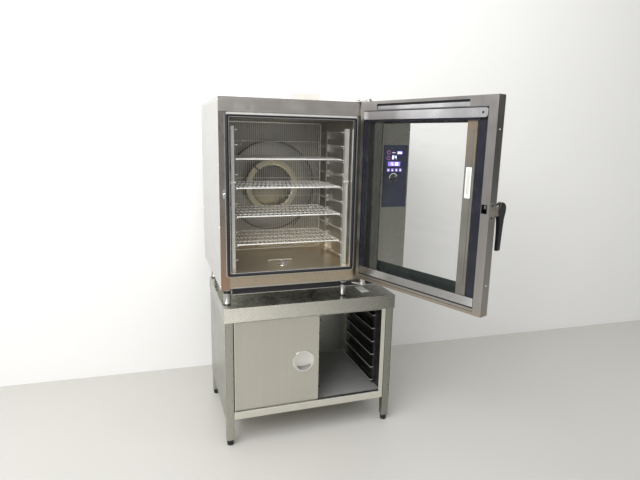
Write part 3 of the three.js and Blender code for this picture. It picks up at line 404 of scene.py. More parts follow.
def heat_tinted(name, colour, hot, rough=0.3):
    """Steel that has been hot: straw and brown rings of tint round the fan's middle."""
    n = Nodes(name)
    centre = oven(*FAN_CENTRE)
    shift = n.make("ShaderNodeVectorMath", operation="DISTANCE")
    shift.inputs[1].default_value = centre
    n.link(n.place, shift.inputs[0])
    patch = n.noise(n.place, 11.0, 4.0, 0.6)
    fine = n.noise(n.stretched((300, 300, 4)), 1.0, 4.0)
    near = n.spread(shift.outputs["Value"], 0.34, 0.1, 0.0, 1.0)
    share = n.maths("MULTIPLY", near, n.spread(patch, 0.2, 0.7, 0.5, 1.0))
    base = n.blend(share, colour, hot)
    base = n.blend(n.spread(fine, 0.3, 0.7, 0.0, 0.25), base, shaded(colour, 0.75))
    n.bump(fine, 0.2)
    return n.finish(base, n.spread(patch, 0.3, 0.7, rough - 0.05, rough + 0.12), Metallic=1.0)


FAN_CENTRE = (358, 515, 442)

SHEET = steel("sheet_brushed", (0.66, 0.65, 0.62), rough=0.32, grain="x")
SIDE_SHEET = steel("side_brushed", (0.61, 0.60, 0.59), rough=0.36, cloud=0.03)
HEADER_SHEET = steel("header_brushed", (0.72, 0.69, 0.655), rough=0.34, grain="x", cloud=0.06)
POST_SHEET = steel("post_brushed", (0.41, 0.38, 0.355),
                   low_warmth=(0.85, 1.25, 0.9, WARM))
SILL_SHEET = steel("sill_brushed", (0.545, 0.46, 0.35), grain="x", cloud=0.08)
DOOR_SHEET = steel("door_brushed", (0.40, 0.385, 0.375), rough=0.32, cloud=0.06,
                   low_warmth=(0.82, 0.86, 0.6, TAWNY))
# The stand's sheets carry painted shade: faces that look left are darkened, and the top and the legs darken
# along x towards the right.
STAND_SHEET = steel("stand_brushed", (0.79, 0.78, 0.70), rough=0.33, grain="x", bump=0.03, cloud=0.04,
                    left_face_shade=0.46)
TOP_SHEET = steel("stand_top_polished", (0.98, 0.97, 0.88), rough=0.28, grain="x", bump=0.03, cloud=0.025,
                  painted_falloff=(stand(-20, 0, 0).x, stand(900, 0, 0).x, 0.24), left_face_shade=0.4)
LEG_SHEET = steel("leg_brushed", (0.45, 0.445, 0.395), bump=0.03, cloud=0.04,
                  painted_falloff=(stand(30, 0, 0).x, stand(850, 0, 0).x, 0.68), left_face_shade=0.8)
SLIDER_SHEET = steel("slider_brushed", (0.62, 0.61, 0.54), rough=0.42, bump=0.03, cloud=0.02)
BRIGHT = steel("bright_steel_bar", (0.88, 0.88, 0.90), rough=0.2, grain="x", bump=0.04)
CHROME = steel("polished_cup", (0.80, 0.80, 0.77), rough=0.06, grain="x", bump=0.02, cloud=0.06)
WIRE = steel("polished_wire", (0.97, 0.97, 0.94), rough=0.34, grain="y", bump=0.03, cloud=0.04, metal=0.7)
STRIP = steel("support_strip", (0.88, 0.88, 0.84), rough=0.34, bump=0.2, cloud=0.16, metal=0.85)
LINER = steel("cavity_lining", (0.53, 0.515, 0.475), rough=0.36, grain="x", cloud=0.12,
              low_warmth=(0.86, 0.98, 0.85, STRAW))
FAN_TINT = steel("fan_plate_tint", (0.20, 0.195, 0.18), rough=0.34, cloud=0.12,
                 low_warmth=(oven(0, 0, 330).z, oven(0, 0, 452).z, 1.0, (0.80, 0.69, 0.42)))
SHELF_STEEL = steel("shelf_brushed", (0.42, 0.42, 0.41), rough=0.5, grain="x", cloud=0.1, metal=0.5)
GUARD_WIRE = steel("guard_wire_steel", (0.84, 0.82, 0.76), rough=0.36, bump=0.03, cloud=0.1,
                   metal=0.85)
# Near-black steel that paints shade: on the runner shelves, the left runner edges and the stand's right
# inner wall; the water injector pipe is dressed in it too.
SHADE_STEEL = steel("painted_shade_steel", (0.16, 0.16, 0.16), rough=0.34, grain="y", cloud=0.1)
# Painted shade: a darker steel for the lining of the stand's back wall.
BACK_SHADE_STEEL = steel("stand_back_painted_shade", (0.58, 0.58, 0.53), rough=0.4, cloud=0.1)
PAN_STEEL = steel("base_pan_steel", (0.66, 0.66, 0.63), rough=0.4, grain="x", cloud=0.16)
HOT_STEEL = heat_tinted("fan_heat_tint", (0.66, 0.62, 0.50), (0.80, 0.73, 0.48))
COIL = heat_tinted("coil_oxide", (0.16, 0.15, 0.14), (0.24, 0.2, 0.14), rough=0.5)
BLACK = coated("black_moulding", (0.014, 0.014, 0.016), 0.34, Specular_IOR_Level=0.5)
RUBBER = coated("navy_rubber", (0.010, 0.010, 0.013), 0.5, grain_scale=420.0, bump=0.3)
SEAL = coated("door_seal_rubber", (0.012, 0.012, 0.014), 0.5)
FEET = coated("foot_plastic", (0.018, 0.018, 0.02), 0.35)
GREY = coated("grey_moulding", (0.27, 0.265, 0.235), 0.45)
HOUSING = coated("lamp_housing_dark", (0.035, 0.035, 0.03), 0.4)
LAMP_HOUSING = coated("lamp_housing_olive", (0.13, 0.125, 0.108), 0.4)
CASTING = coated("motor_paint", (0.1, 0.1, 0.105), 0.5, grain_scale=300.0, bump=0.6, Metallic=0.4)
DARK_FIXING = coated("dark_fixing", (0.05, 0.05, 0.052), 0.35, Metallic=0.6)
VENT_PAINT = coated("vent_light_paint", (0.62, 0.60, 0.56), 0.4, variation=0.05)
BRASS = steel("brass_fitting", (0.72, 0.55, 0.28), rough=0.28, grain="y")
PANEL = coated("control_black_glass", (0.014, 0.017, 0.052), 0.1, bump=0.02)
BORDER = coated("glass_navy_print", (0.010, 0.010, 0.020), 0.22, bump=0.03, Specular_IOR_Level=0.25)
OUTER_BORDER = coated("glass_green_black_print", (0.012, 0.017, 0.016), 0.25, bump=0.03,
                      Specular_IOR_Level=0.2)
TAN = coated("lamp_housing_tan", (0.17, 0.125, 0.085), 0.4)
COLUMN_SHEET = steel("column_brushed", (0.35, 0.345, 0.31))
# The lamp lenses glow; the same glow on the plate on the stand top is painted light.
LENS = glowing("lamp_lens_white", (0.80, 0.80, 0.77), 0.2)
LENS_WINDOW = glowing("lamp_window_grey", (0.60, 0.60, 0.57), 0.15)

LIT_BLUE = glowing("display_violet", (0.20, 0.13, 0.62), 1.5)
LIT_PINK = glowing("display_purple", (0.42, 0.10, 0.50), 1.0)
LIT_WHITE = glowing("display_white", (0.74, 0.76, 1.0), 1.6)
# Printed marks that glow faintly: painted light on the knob's pointer and scale.
MARKS = glowing("printed_marks_painted_glow", (0.74, 0.75, 0.78), 0.45)
OUTER_PANE = pane("outer_glass", (0.24, 0.26, 0.23), smear=0.025, alpha=0.015)
INNER_PANE = pane("inner_glass", (0.24, 0.25, 0.23), smear=0.025, alpha=0.015)
FOOT_STEEL = steel("foot_brushed", (0.50, 0.495, 0.48), rough=0.32, bump=0.03)
BRACKET = steel("handle_casting", (0.62, 0.57, 0.52), rough=0.26, cloud=0.15)
# The polished bars of the inner glass carry painted reflections: bands of light and dark tone across the
# door's width.
TOP_BAR = steel("top_bar_painted_reflection", (0.86, 0.86, 0.89), rough=0.22, grain="x", bump=0.03,
                reflection_bands=((0.0, 0.85), (0.06, 0.8), (0.09, 0.2), (0.3, 0.28),
                       (0.35, 0.7), (0.62, 1.0), (0.76, 0.7), (1.0, 0.6)))
BOTTOM_BAR = steel("bottom_bar_painted_reflection", (0.66, 0.66, 0.67), rough=0.22, grain="x", bump=0.03,
                   reflection_bands=((0.0, 0.05), (0.12, 0.1), (0.2, 0.85), (0.32, 0.3),
                          (0.6, 0.22), (0.88, 0.4), (1.0, 1.0)))


def dress(node, material, edge=0.5):
    """Gives a CAD node its material and softened edges."""
    piece = frame["nodes"][node]
    piece.data.materials.clear()
    piece.data.materials.append(material)
    weld = piece.modifiers.new("weld", "WELD")
    weld.merge_threshold = 0.00002
    if edge:
        soften(piece, edge)


def dress_cad():
    """The CAD nodes that show as they are."""
    for node in ("top_cover", "right_side_panel", "rear_panel"):
        dress(node, SHEET)
    dress("left_side_panel", SIDE_SHEET)
    dress("front_header", HEADER_SHEET, 0.4)
    dress("left_front_post", POST_SHEET, 0.4)
    dress("front_sill", SILL_SHEET, 0.4)
    dress("control_column_fascia", COLUMN_SHEET, 0.4)
    dress("base_pan", PAN_STEEL, 0.4)
    dress("control_glass", PANEL, 0.4)
    dress("control_electronics", GREY, 0.6)
    dress("cavity_liner", LINER, 0.0)
    dress("fan_motor", CASTING, 0.8)
    dress("fan_shaft", BRIGHT, 0.3)
    dress("water_injector", SHADE_STEEL, 0.0)
    dress("drain_pipe", GREY, 0.0)
    dress("water_inlet_valve", BRASS, 0.6)
    dress("cable_gland", BLACK, 0.6)
    dress("upper_hinge_bracket", HEADER_SHEET, 0.6)
    dress("lower_hinge_bracket", SHEET, 0.6)
    dress("latch_striker", BRIGHT, 0.3)
    dress("door_frame", DOOR_SHEET, 0.4)
    dress("door_outer_glass", OUTER_PANE, 0.0)
    dress("door_inner_glass", INNER_PANE, 0.0)
    dress("inner_glass_top_bar", TOP_BAR, 0.8)
    dress("inner_glass_bottom_bar", BOTTOM_BAR, 0.8)
    dress("led_strip_hinge_side", HOUSING, 0.8)
    dress("led_strip_latch_side", LAMP_HOUSING, 0.8)
    dress("door_handle_bracket", BRACKET, 0.5)
    dress("door_handle_grip", BLACK, 0.6)
    dress("latch_hook", CASTING, 0.5)
    dress("stand_top", TOP_SHEET, 0.6)
    dress("stand_cabinet", STAND_SHEET, 0.4)
    dress("sliding_door_front", SLIDER_SHEET, 0.5)
    dress("sliding_door_rear", SLIDER_SHEET, 0.5)


# ---- Cavity ----
GUARD_X = (59, 630)
GUARD_Z = (91, 790)
GUARD_Y = 462
GUARD_SPACES = 50
GUARD_RUNG_SPACES = 7


def guard():
    """The wire screen in front of the fan, with a light frame."""
    shape = Shape(oven)
    for i in range(1, GUARD_SPACES):
        x = GUARD_X[0] + (GUARD_X[1] - GUARD_X[0]) * i / GUARD_SPACES
        shape.tube([(x, GUARD_Y, GUARD_Z[0]), (x, GUARD_Y, GUARD_Z[1])], 1.5, 6)
    for i in range(1, GUARD_RUNG_SPACES):
        z = GUARD_Z[0] + (GUARD_Z[1] - GUARD_Z[0]) * i / GUARD_RUNG_SPACES
        shape.tube([(GUARD_X[0], GUARD_Y + 2, z), (GUARD_X[1], GUARD_Y + 2, z)], 1.8, 6)
    rim = arc((0, 0), 3, 0, 315, 7)
    shape.loop(GUARD_X, GUARD_Z, GUARD_Y, rim, 10)
    shape.make("guard_wires", GUARD_WIRE, "cabinet", ["fan_guard"], "bright_steel")


LEVEL_FIRST = 137.2
LEVEL_PITCH = 67.5
LEVELS = [LEVEL_FIRST + LEVEL_PITCH * k for k in range(10)]
LEVELS_LOADED = (1, 3, 5, 7)
SUPPORT_Z = (79.5, 758)
SUPPORT_Y = (35, 49)
RUNNER_WIRE = 1.7


def rack_support(side, post, rear, way):
    """A front post, a rear strip with a tab at each level, and a looped wire runner at every level."""
    shape = Shape(oven)
    low, high = SUPPORT_Z
    inner = post[1] if way > 0 else post[0]
    outer = post[0] if way > 0 else post[1]
    shape.block(sorted((outer, outer + way * 2.4)), SUPPORT_Y, (low, high))
    shape.block(sorted((inner, inner - way * 7)), (35, 37), (low, high))
    shape.block(sorted((inner, inner - way * 2.4)), SUPPORT_Y, (low, high))
    shape.block((post[0] + 0.5, post[1] - 0.5), (46, 48.4), (low + 1, high - 1))
    face = high - 250 if side == "right" else low
    shape.block((post[0] + 0.6, post[1] - 0.6), (35.3, 37.4), (face, high - 0.4))
    for foot in (low, low + 22):
        shape.block(post, (33.6, 36), (foot, foot + 5))
    shape.make("rack_post_" + side, STRIP, "cabinet", ["rack_support_" + side], "bright_steel", bevel=0.4)
    slabs("rack_clip_" + side, oven, WIRE, "cabinet", "bright_steel", 0.6,
          ((post[0] - 3, post[1] + 3), (32.6, 35), (500, 507)),
          ((post[0] + 4, post[1] - 4), (30.8, 33), (501.5, 505.5)))
    tabs = Shape(oven)
    edge = rear[0] if way < 0 else rear[1]
    tabs.block(sorted((edge, edge - way * 3)), (333, 336), (low, high))
    for z in LEVELS:
        tabs.block((rear[0] + 1, rear[1] - 1), (328, 329.6), (z - 36, z + 2))
    tabs.make("rack_rear_strip_" + side, STRIP, "cabinet", slot="bright_steel", bevel=0.3)
    wires = Shape(oven)
    for z in LEVELS:
        near = inner - way * 2
        far = inner + way * 13
        for level, reach in ((z - 3, far), (z - 12, near + way * 4)):
            path = [(near, 40, level)]
            path += [(near + (reach - near) * f, 40 + 3 * f, level) for f in (0.5, 1.0)]
            path += [(reach, 44, level), (reach, 200, level), (reach, 426, level)]
            path += [(near, 430, level)]
            wires.tube(path, RUNNER_WIRE, 8)
    wires.make("rack_runners_" + side, GUARD_WIRE, "cabinet", slot="bright_steel")


RACK_X = (79, 609)
RACK_Y = (49, 419)
RACK_CORNER = 12
RACK_RIM = 3.4
RACK_INSET = 4
RACK_SPACES = 24
RACK_CROSS_Y = (140, 234, 328)


def rack(index, centre):
    """A wire shelf: a bent rim, close bars front to back, and cross bars under them."""
    shape = Shape(oven)
    corner, inset = RACK_CORNER, RACK_INSET
    path = []
    for cx, cy, start in (
        (RACK_X[1] - corner, RACK_Y[0] + corner, -90),
        (RACK_X[1] - corner, RACK_Y[1] - corner, 0),
        (RACK_X[0] + corner, RACK_Y[1] - corner, 90),
        (RACK_X[0] + corner, RACK_Y[0] + corner, 180),
    ):
        path += [(a, b, centre) for a, b in arc((cx, cy), corner - inset, start, start + 90, 5)]
    shape.tube(path, RACK_RIM, 10, closed=True)
    for i in range(1, RACK_SPACES):
        x = RACK_X[0] + inset + (RACK_X[1] - RACK_X[0] - 2 * inset) * i / RACK_SPACES
        shape.tube([(x, RACK_Y[0] + inset, centre + 1.2), (x, RACK_Y[1] - inset, centre + 1.2)], 2.3, 8)
    for y in RACK_CROSS_Y:
        shape.tube([(RACK_X[0] + inset, y, centre - 1.6), (RACK_X[1] - inset, y, centre - 1.6)], 2.2, 8)
    name = "wire_rack_%d" % index
    shape.make("rack_bars_%d" % index, WIRE, "rack_%d" % index, [name], "bright_steel")


def injector_nozzle():
    """The bright spray tip at the low end of the water pipe before the fan."""
    shape = Shape(oven)
    shape.turned("y", (341, 0, 463), [
        (0.5, 468.5), (5, 468.6), (7.6, 470.4), (7.9, 478), (7, 483), (0.5, 483.4),
    ], 24)
    shape.make("injector_nozzle", WIRE, "cabinet", slot="bright_steel")


FAN_STEPS = 64
BLADES = 24
BLADE_ROOT = 112
BLADE_REACH = 34


def fan():
    """The fan wheel: a back plate, curved blades and a rolled front ring."""
    cx, cz = FAN_CENTRE[0], FAN_CENTRE[2]
    wheel = Shape(oven)
    ring = [(117, 490), (119, 488.6), (130, 488), (147, 488.6), (150, 491), (150, 495),
            (147, 494), (144, 491.4), (130, 490.4), (120, 491), (118, 493)]
    rings = []
    for j in range(FAN_STEPS):
        angle = 2 * math.pi * j / FAN_STEPS
        rings.append([(cx + r * math.cos(angle), y, cz + r * math.sin(angle)) for r, y in ring])
    wheel.rings(rings, True)
    for k in range(BLADES):
        sections = []
        for share in (0.0, 0.33, 0.66, 1.0):
            radius = BLADE_ROOT + BLADE_REACH * share
            turn = 2 * math.pi * k / BLADES + 0.30 * share * share
            tip = (cx + radius * math.cos(turn), cz + radius * math.sin(turn))
            wide = (-math.sin(turn) * 0.8, math.cos(turn) * 0.8)
            sections.append([
                (tip[0] - wide[0], 491, tip[1] - wide[1]), (tip[0] + wide[0], 491, tip[1] + wide[1]),
                (tip[0] + wide[0], 545, tip[1] + wide[1]), (tip[0] - wide[0], 545, tip[1] - wide[1]),
            ])
        wheel.rings(sections, False)
    wheel.make("fan_bladed_wheel", HOT_STEEL, "fan", ["fan_wheel"], "cavity_steel")
    plate = Shape(oven)
    plate.turned("y", (cx, 0, cz), [
        (9, 512), (24, 512), (26, 515), (28, 541), (36, 543.6),
        (143, 544.2), (144, 546), (143, 548), (9, 548),
    ], FAN_STEPS)
    plate.make("fan_back_plate", FAN_TINT, "fan", slot="cavity_steel")


HEATER_RADIUS = 250
HEATER_LEAD = 264
HEATER_TURNS = 2.7
HEATER_WALL = 592
HEATER_STEPS = 170


def heater():
    """The round heater: a smooth coil of tube about the fan, its ends through the rear wall."""
    cx, cz = FAN_CENTRE[0], FAN_CENTRE[2]
    start = -math.pi / 3
    lead, wall = HEATER_LEAD, HEATER_WALL
    around = HEATER_TURNS * 2 * math.pi

    def at(radius, angle, y):
        return (cx + radius * math.cos(angle), y, cz + radius * math.sin(angle))

    path = [at(lead, start, wall), at(lead, start, 520), at(lead - 2, start + 0.02, 504)]
    for i in range(HEATER_STEPS + 1):
        share = i / HEATER_STEPS
        path.append(at(HEATER_RADIUS, start + 0.2 + share * around, 500 + 45 * share))
    end = start + 0.28 + around
    path += [at(HEATER_RADIUS, end, 552), at(HEATER_RADIUS, end, wall)]
    shape = Shape(oven)
    shape.tube(path, 3.6, 10)
    shape.make("heater_coil", COIL, "cabinet", ["heating_element"], "dark_steel")


GASKET_CORNER = 16


def gasket():
    """A bulb seal round the mouth of the cavity, with bright strips of painted highlight along its top,
    sides and bottom, and the lip beside it.
    """
    low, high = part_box("door_gasket")
    x = ((low.x - OVEN_AT.x) / MM, (high.x - OVEN_AT.x) / MM)
    z = ((low.z - OVEN_AT.z) / MM, (high.z - OVEN_AT.z) / MM)
    bulb = [(-14.6, -0.35), (-14.6, -3.2)]
    bulb += [(-7.3 + 6.2 * math.cos(a), -3.4 - 3.7 * math.sin(a)) for a in
             [math.pi * (1 - i / 8) for i in range(9)]]
    bulb += [(-0.4, -3.2), (-0.4, -0.35)]
    shape = Shape(oven)
    shape.loop(x, z, 0, bulb, GASKET_CORNER)
    shape.make("gasket_bulb", RUBBER, "cabinet", ["door_gasket"], "black_rubber")
    # Painted highlight: a bright strip over the gasket's top.
    slabs("gasket_top_highlight", oven, WIRE, "cabinet", "bright_steel", 0.3,
          ((x[0] + 4, x[1] - 4), (-7.4, -6.9), (z[1] - 6.5, z[1] + 1.2)),
          ((x[0] + 4, x[1] - 4), (-7.4, -0.3), (z[1] + 0.6, z[1] + 1.8)))
    lip = Shape(oven)
    lip_section = [(-17.4, -2.2), (-15.0, -2.2), (-15.0, -0.3), (-16.0, 6.0), (-17.4, 6.0)]
    lip.loop(x, z, 0, lip_section, GASKET_CORNER)
    lip.make("cavity_mouth_lip", BRIGHT, "cabinet", slot="bright_steel")
    # Painted highlights: bright lines along the gasket's sides and bottom.
    slabs("gasket_edge_highlights", oven, BRIGHT, "cabinet", "bright_steel", 0.3,
          ((x[0] - 4.2, x[0] - 1.2), (-1.4, -0.2), (z[0] + 4, z[1] - 4)),
          ((x[0] + 4, x[1] - 4), (-1.4, -0.2), (z[0] - 1.6, z[0] + 0.4)),
          ((x[1] + 1.2, x[1] + 4.6), (-1.8, -0.2), (z[0] + 4, z[1] - 4)))


def strainer():
    """The drain strainer: a dished plate with holes, and its lifting bar."""
    cx, cy, top = 330, 125, 80.5
    plate = Shape(oven)
    radius = 29
    rows = ((0, 4.5), (4.5, 6.0), (6.0, 10), (10, 12.5), (12.5, 16), (16, 18.5), (18.5, 24), (24, radius))
    sectors = 36
    for ring, (inner, outer) in enumerate(rows):
        for k in range(sectors):
            if ring % 2 == 1 and ring < 7 and k % 2 == 0:
                continue
            a = 2 * math.pi * k / sectors
            b = 2 * math.pi * (k + 1) / sectors
            corners = [(inner + 0.01, a), (outer, a), (outer, b), (inner + 0.01, b)]
            flat = [(cx + r * math.cos(w), cy + r * math.sin(w), top + 3.0 * (1 - r / radius))
                    for r, w in corners]
            plate.rings([flat, [(p[0], p[1], p[2] + 1.1) for p in flat]], False)
    plate.turned("z", (cx, cy, 0), [(27, 79.6), (30, 79.6), (30, 81.4), (28.6, 82.2), (27, 82.2)], 40)
    plate.turned("z", (cx, cy, 0), [(3, 83), (5.5, 83), (5.5, 86), (4, 87.4), (1, 87.8)], 20)
    plate.make("strainer_plate", BRIGHT, "cabinet", ["drain_strainer"], "bright_steel")
    bar = Shape(oven)
    bar.tube([(cx - 62, 184, 84), (cx - 58, 188, 88), (cx, 189, 88.6),
              (cx + 58, 190, 88), (cx + 62, 188, 84)], 2.4, 8)
    bar.tube([(cx, 188, 88), (cx, 160, 88), (cx, 136, 85.5)], 2.0, 8)
    bar.make("strainer_bar", WIRE, "cabinet", slot="bright_steel")


# ---- Control panel ----
SEGMENTS = {"0": "abcdef", "1": "bc", "2": "abged", "3": "abgcd", "4": "fgbc",
            "5": "afgcd", "6": "afgedc", "7": "abc", "8": "abcdefg", "9": "abcdfg"}


def digit(shape, x, z, wide, tall, stroke, symbol, y):
    """One seven-bar numeral, seen from the front, from its lower left corner."""
    half = tall / 2
    bars = {
        "a": ((x, x + wide), (z + tall - stroke, z + tall)),
        "g": ((x, x + wide), (z + half - stroke / 2, z + half + stroke / 2)),
        "d": ((x, x + wide), (z, z + stroke)),
        "f": ((x, x + stroke), (z + half, z + tall)),
        "e": ((x, x + stroke), (z, z + half)),
        "b": ((x + wide - stroke, x + wide), (z + half, z + tall)),
        "c": ((x + wide - stroke, x + wide), (z, z + half)),
    }
    for key in SEGMENTS[symbol]:
        across, up = bars[key]
        shape.block(across, y, up)


PRINT_Y = (-0.35, -0.05)
GROUND_Y = (-0.2, -0.04)


def display():
    """The lit part of the panel: two rings, small bars, two large numerals, a time and four marks."""
    purple = Shape(oven)
    for z in (649, 622):
        flat_band(purple, (834, z), (9.5, 9.5 - 1.8), 0, 345, PRINT_Y)
    purple.make("display_rings", LIT_PINK, "cabinet", slot="control_glass")
    blue = Shape(oven)
    white = Shape(oven)
    for i in range(3):
        white.block((854 + i * 6, 858 + i * 6), PRINT_Y, (647, 650))
    for i in range(2):
        white.block((884 + i * 13, 893 + i * 13), PRINT_Y, (643, 653))
        blue.block((881 + i * 13, 896 + i * 13), GROUND_Y, (640, 656))
    digit(white, 854, 616, 9, 18, 2.6, "8", PRINT_Y)
    digit(white, 868, 616, 9, 18, 2.6, "4", PRINT_Y)
    blue.block((832, 900), GROUND_Y, (582, 604))
    for x, symbol in ((842, "1"), (853, "5"), (870, "3"), (881, "0")):
        digit(white, x, 585, 8, 15, 2.2, symbol, PRINT_Y)
    white.block((865, 867), PRINT_Y, (589, 591))
    white.block((865, 867), PRINT_Y, (595, 597))
    for i in range(4):
        x = 830 + i * 22
        white.block((x + 2, x + 9), PRINT_Y, (559, 562))
        white.block((x + 4, x + 7), PRINT_Y, (563, 567))
        blue.block((x - 1, x + 13), GROUND_Y, (555, 570))
    blue.make("display_icons", LIT_BLUE, "cabinet", slot="control_glass")
    white.make("display_numerals", LIT_WHITE, "cabinet", slot="control_glass")


KNOB_AT = (866, 524)
KNOB_RIBS = 24


def knob():
    """The turning knob with its pointer, and the printed arc round it; pointer and arc glow faintly with
    painted light.
    """
    cx, cz = KNOB_AT
    cap = Shape(oven)
    cap.turned("y", (cx, 0, cz), [
        (4, -0.6), (18.6, -0.6), (19, -2.2), (18.4, -4), (16.6, -5), (16.2, -7), (15.8, -15),
        (14.6, -17.4), (12, -18.3), (4, -18.5),
    ], 48)
    for k in range(KNOB_RIBS):
        angle = 2 * math.pi * k / KNOB_RIBS
        x, z = cx + 16.1 * math.cos(angle), cz + 16.1 * math.sin(angle)
        cap.tube([(x, -6, z), (x, -15.5, z)], 0.7, 6)
    cap.make("knob_cap", BLACK, "knob", ["control_knob"], "black_plastic", sharp=50)
    slabs("knob_pointer", oven, MARKS, "knob", "black_plastic", 0.0,
          ((cx - 0.9, cx + 0.9), (-18.75, -18.4), (cz + 5, cz + 14)))
    scale = Shape(oven)
    flat_band(scale, (cx, cz), (23.2, 20.4), -8, 188, (-0.3, -0.05))
    scale.make("knob_scale", MARKS, "cabinet", slot="control_glass")


# ---- Oven outside ----
def oven_foot(label, x, y):
    """A steel foot of the oven: collar, tube and a dark base."""
    tube = Shape(oven)
    tube.turned("z", (x, y, 0), [
        (5, -0.5), (19, -0.5), (20, -1.4), (20, -6), (19, -7), (12.5, -7.2), (12.5, -22), (18.4, -22.4),
        (19.2, -23.4), (19.2, -27), (17.2, -28), (17, -70.6), (16.4, -71.6), (5, -71.6),
    ], 40)
    tube.make("oven_foot_tube_" + label, FOOT_STEEL, "cabinet", ["oven_foot_" + label], "bright_steel")
    base = Shape(oven)
    base.turned("z", (x, y, 0), [
        (12.6, -8), (16.4, -8.6), (17, -10), (17, -18), (16.4, -19.4), (12.6, -20),
    ], 40)
    base.turned("z", (x, y, 0), [
        (4, -71.7), (17.4, -71.7), (18.6, -73), (18.8, -76), (18, -77.5), (4, -77.6),
    ], 40)
    base.make("oven_foot_base_" + label, FEET, "cabinet", slot="black_plastic")


def bolt(shape, x, y, z, radius, rise):
    """An upright bolt head standing `rise` proud, with a washer under it."""
    washer = rise * 0.25
    shape.turned("z", (x, y, 0), [
        (0.5, z), (radius * 1.35, z), (radius * 1.35, z + washer), (0.5, z + washer),
    ], 24)
    shape.turned("z", (x, y, 0), [
        (0.5, z + washer), (radius, z + washer),
        (radius, z + rise * 0.85), (radius * 0.86, z + rise), (0.5, z + rise),
    ], 6)


def striker_plate():
    """The thin plate behind the latch striker."""
    low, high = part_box("latch_striker")
    middle = ((low + high) / 2 - OVEN_AT) / MM
    slabs("striker_plate", oven, BRIGHT, "cabinet", "bright_steel", 0.3,
          ((middle.x - 6, middle.x + 6), (-1.0, -0.2), (middle.z - 20, middle.z + 22)))


HINGE_PLATE_TOP = 889.5


def fixings():
    """Bolts on the upper hinge plate, and the screws of the door's edge and its handle."""
    upper_top = (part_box("upper_hinge_bracket")[1].z - OVEN_AT.z) / MM
    hinges = Shape(oven)
    for x in (672, 708):
        bolt(hinges, x, 18, min(HINGE_PLATE_TOP, upper_top), 6.5, 5)
    hinges.make("upper_hinge_bolts", DARK_FIXING, "cabinet", slot="dark_steel", sharp=25)
    edge = Shape(door)
    for z in (729, 127):
        edge.turned("x", (0, 22, z), [
            (0.4, 728.4), (3.8, 728.4), (3.5, 729.6), (2.2, 729.9), (1.8, 729.0), (0.3, 729.0),
        ], 20)
    edge.make("door_edge_screws", SHEET, "door", slot="dark_steel")
    arm = Shape(door)
    for z in (398, 446):
        arm.turned("x", (0, 12, z), [
            (0.4, 731.7), (5.6, 731.7), (5.2, 733.4), (2.4, 733.9), (2, 732.8), (0.3, 732.8),
        ], 20)
    arm.make("handle_bracket_screws", DARK_FIXING, "door", slot="dark_steel")


PANEL_SIZE = (952, 884)
PANEL_SCREW_INSET = 14
PANEL_SCREW_HEIGHTS = (0.02, 0.34, 0.66, 0.98)
AIR_SLOT = {"low": 600, "pitch": 16, "rows": 9, "left": (590, 700), "wide": 84}


def panel_screws():
    """Small domed screws that hold the rear and side panels, and the rear panel's air slots."""
    screws = Shape(oven)
    head = [(0.4, 0.0), (4.6, 0.0), (4.3, 1.3), (2.4, 2.1), (0.4, 2.3)]
    wide, tall = PANEL_SIZE
    rear = (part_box("rear_panel")[1].y - OVEN_AT.y) / MM
    depth = rear - PANEL_SCREW_INSET
    for share in PANEL_SCREW_HEIGHTS:
        for x in (PANEL_SCREW_INSET, wide - PANEL_SCREW_INSET):
            screws.turned("y", (x, 0, share * tall), [(r, rear + rise) for r, rise in head], 16)
        for y in (PANEL_SCREW_INSET, depth):
            screws.turned("x", (0, y, share * tall), [(r, -rise) for r, rise in head], 16)
            screws.turned("x", (0, y, share * tall), [(r, wide + rise) for r, rise in head], 16)
    screws.make("panel_screws", BRIGHT, "cabinet", slot="bright_steel")
    slots = Shape(oven)
    for row in range(AIR_SLOT["rows"]):
        z = AIR_SLOT["low"] + row * AIR_SLOT["pitch"]
        for x in AIR_SLOT["left"]:
            slots.block((x, x + AIR_SLOT["wide"]), (rear + 0.05, rear + 0.35), (z, z + 5))
            slots.block((x - 1, x + AIR_SLOT["wide"] + 1), (rear + 0.05, rear + 2.2), (z + 5, z + 6.4))
    slots.make("rear_air_slots", CASTING, "cabinet", slot="dark_steel", bevel=0.2)


# ---- Door ----
RAIL_S = (104, 613)
SEAL_S = (30, 690)
INNER_PRINT_T = (5.1, 5.3)
OUTER_PRINT_T = (44.45, 44.65)


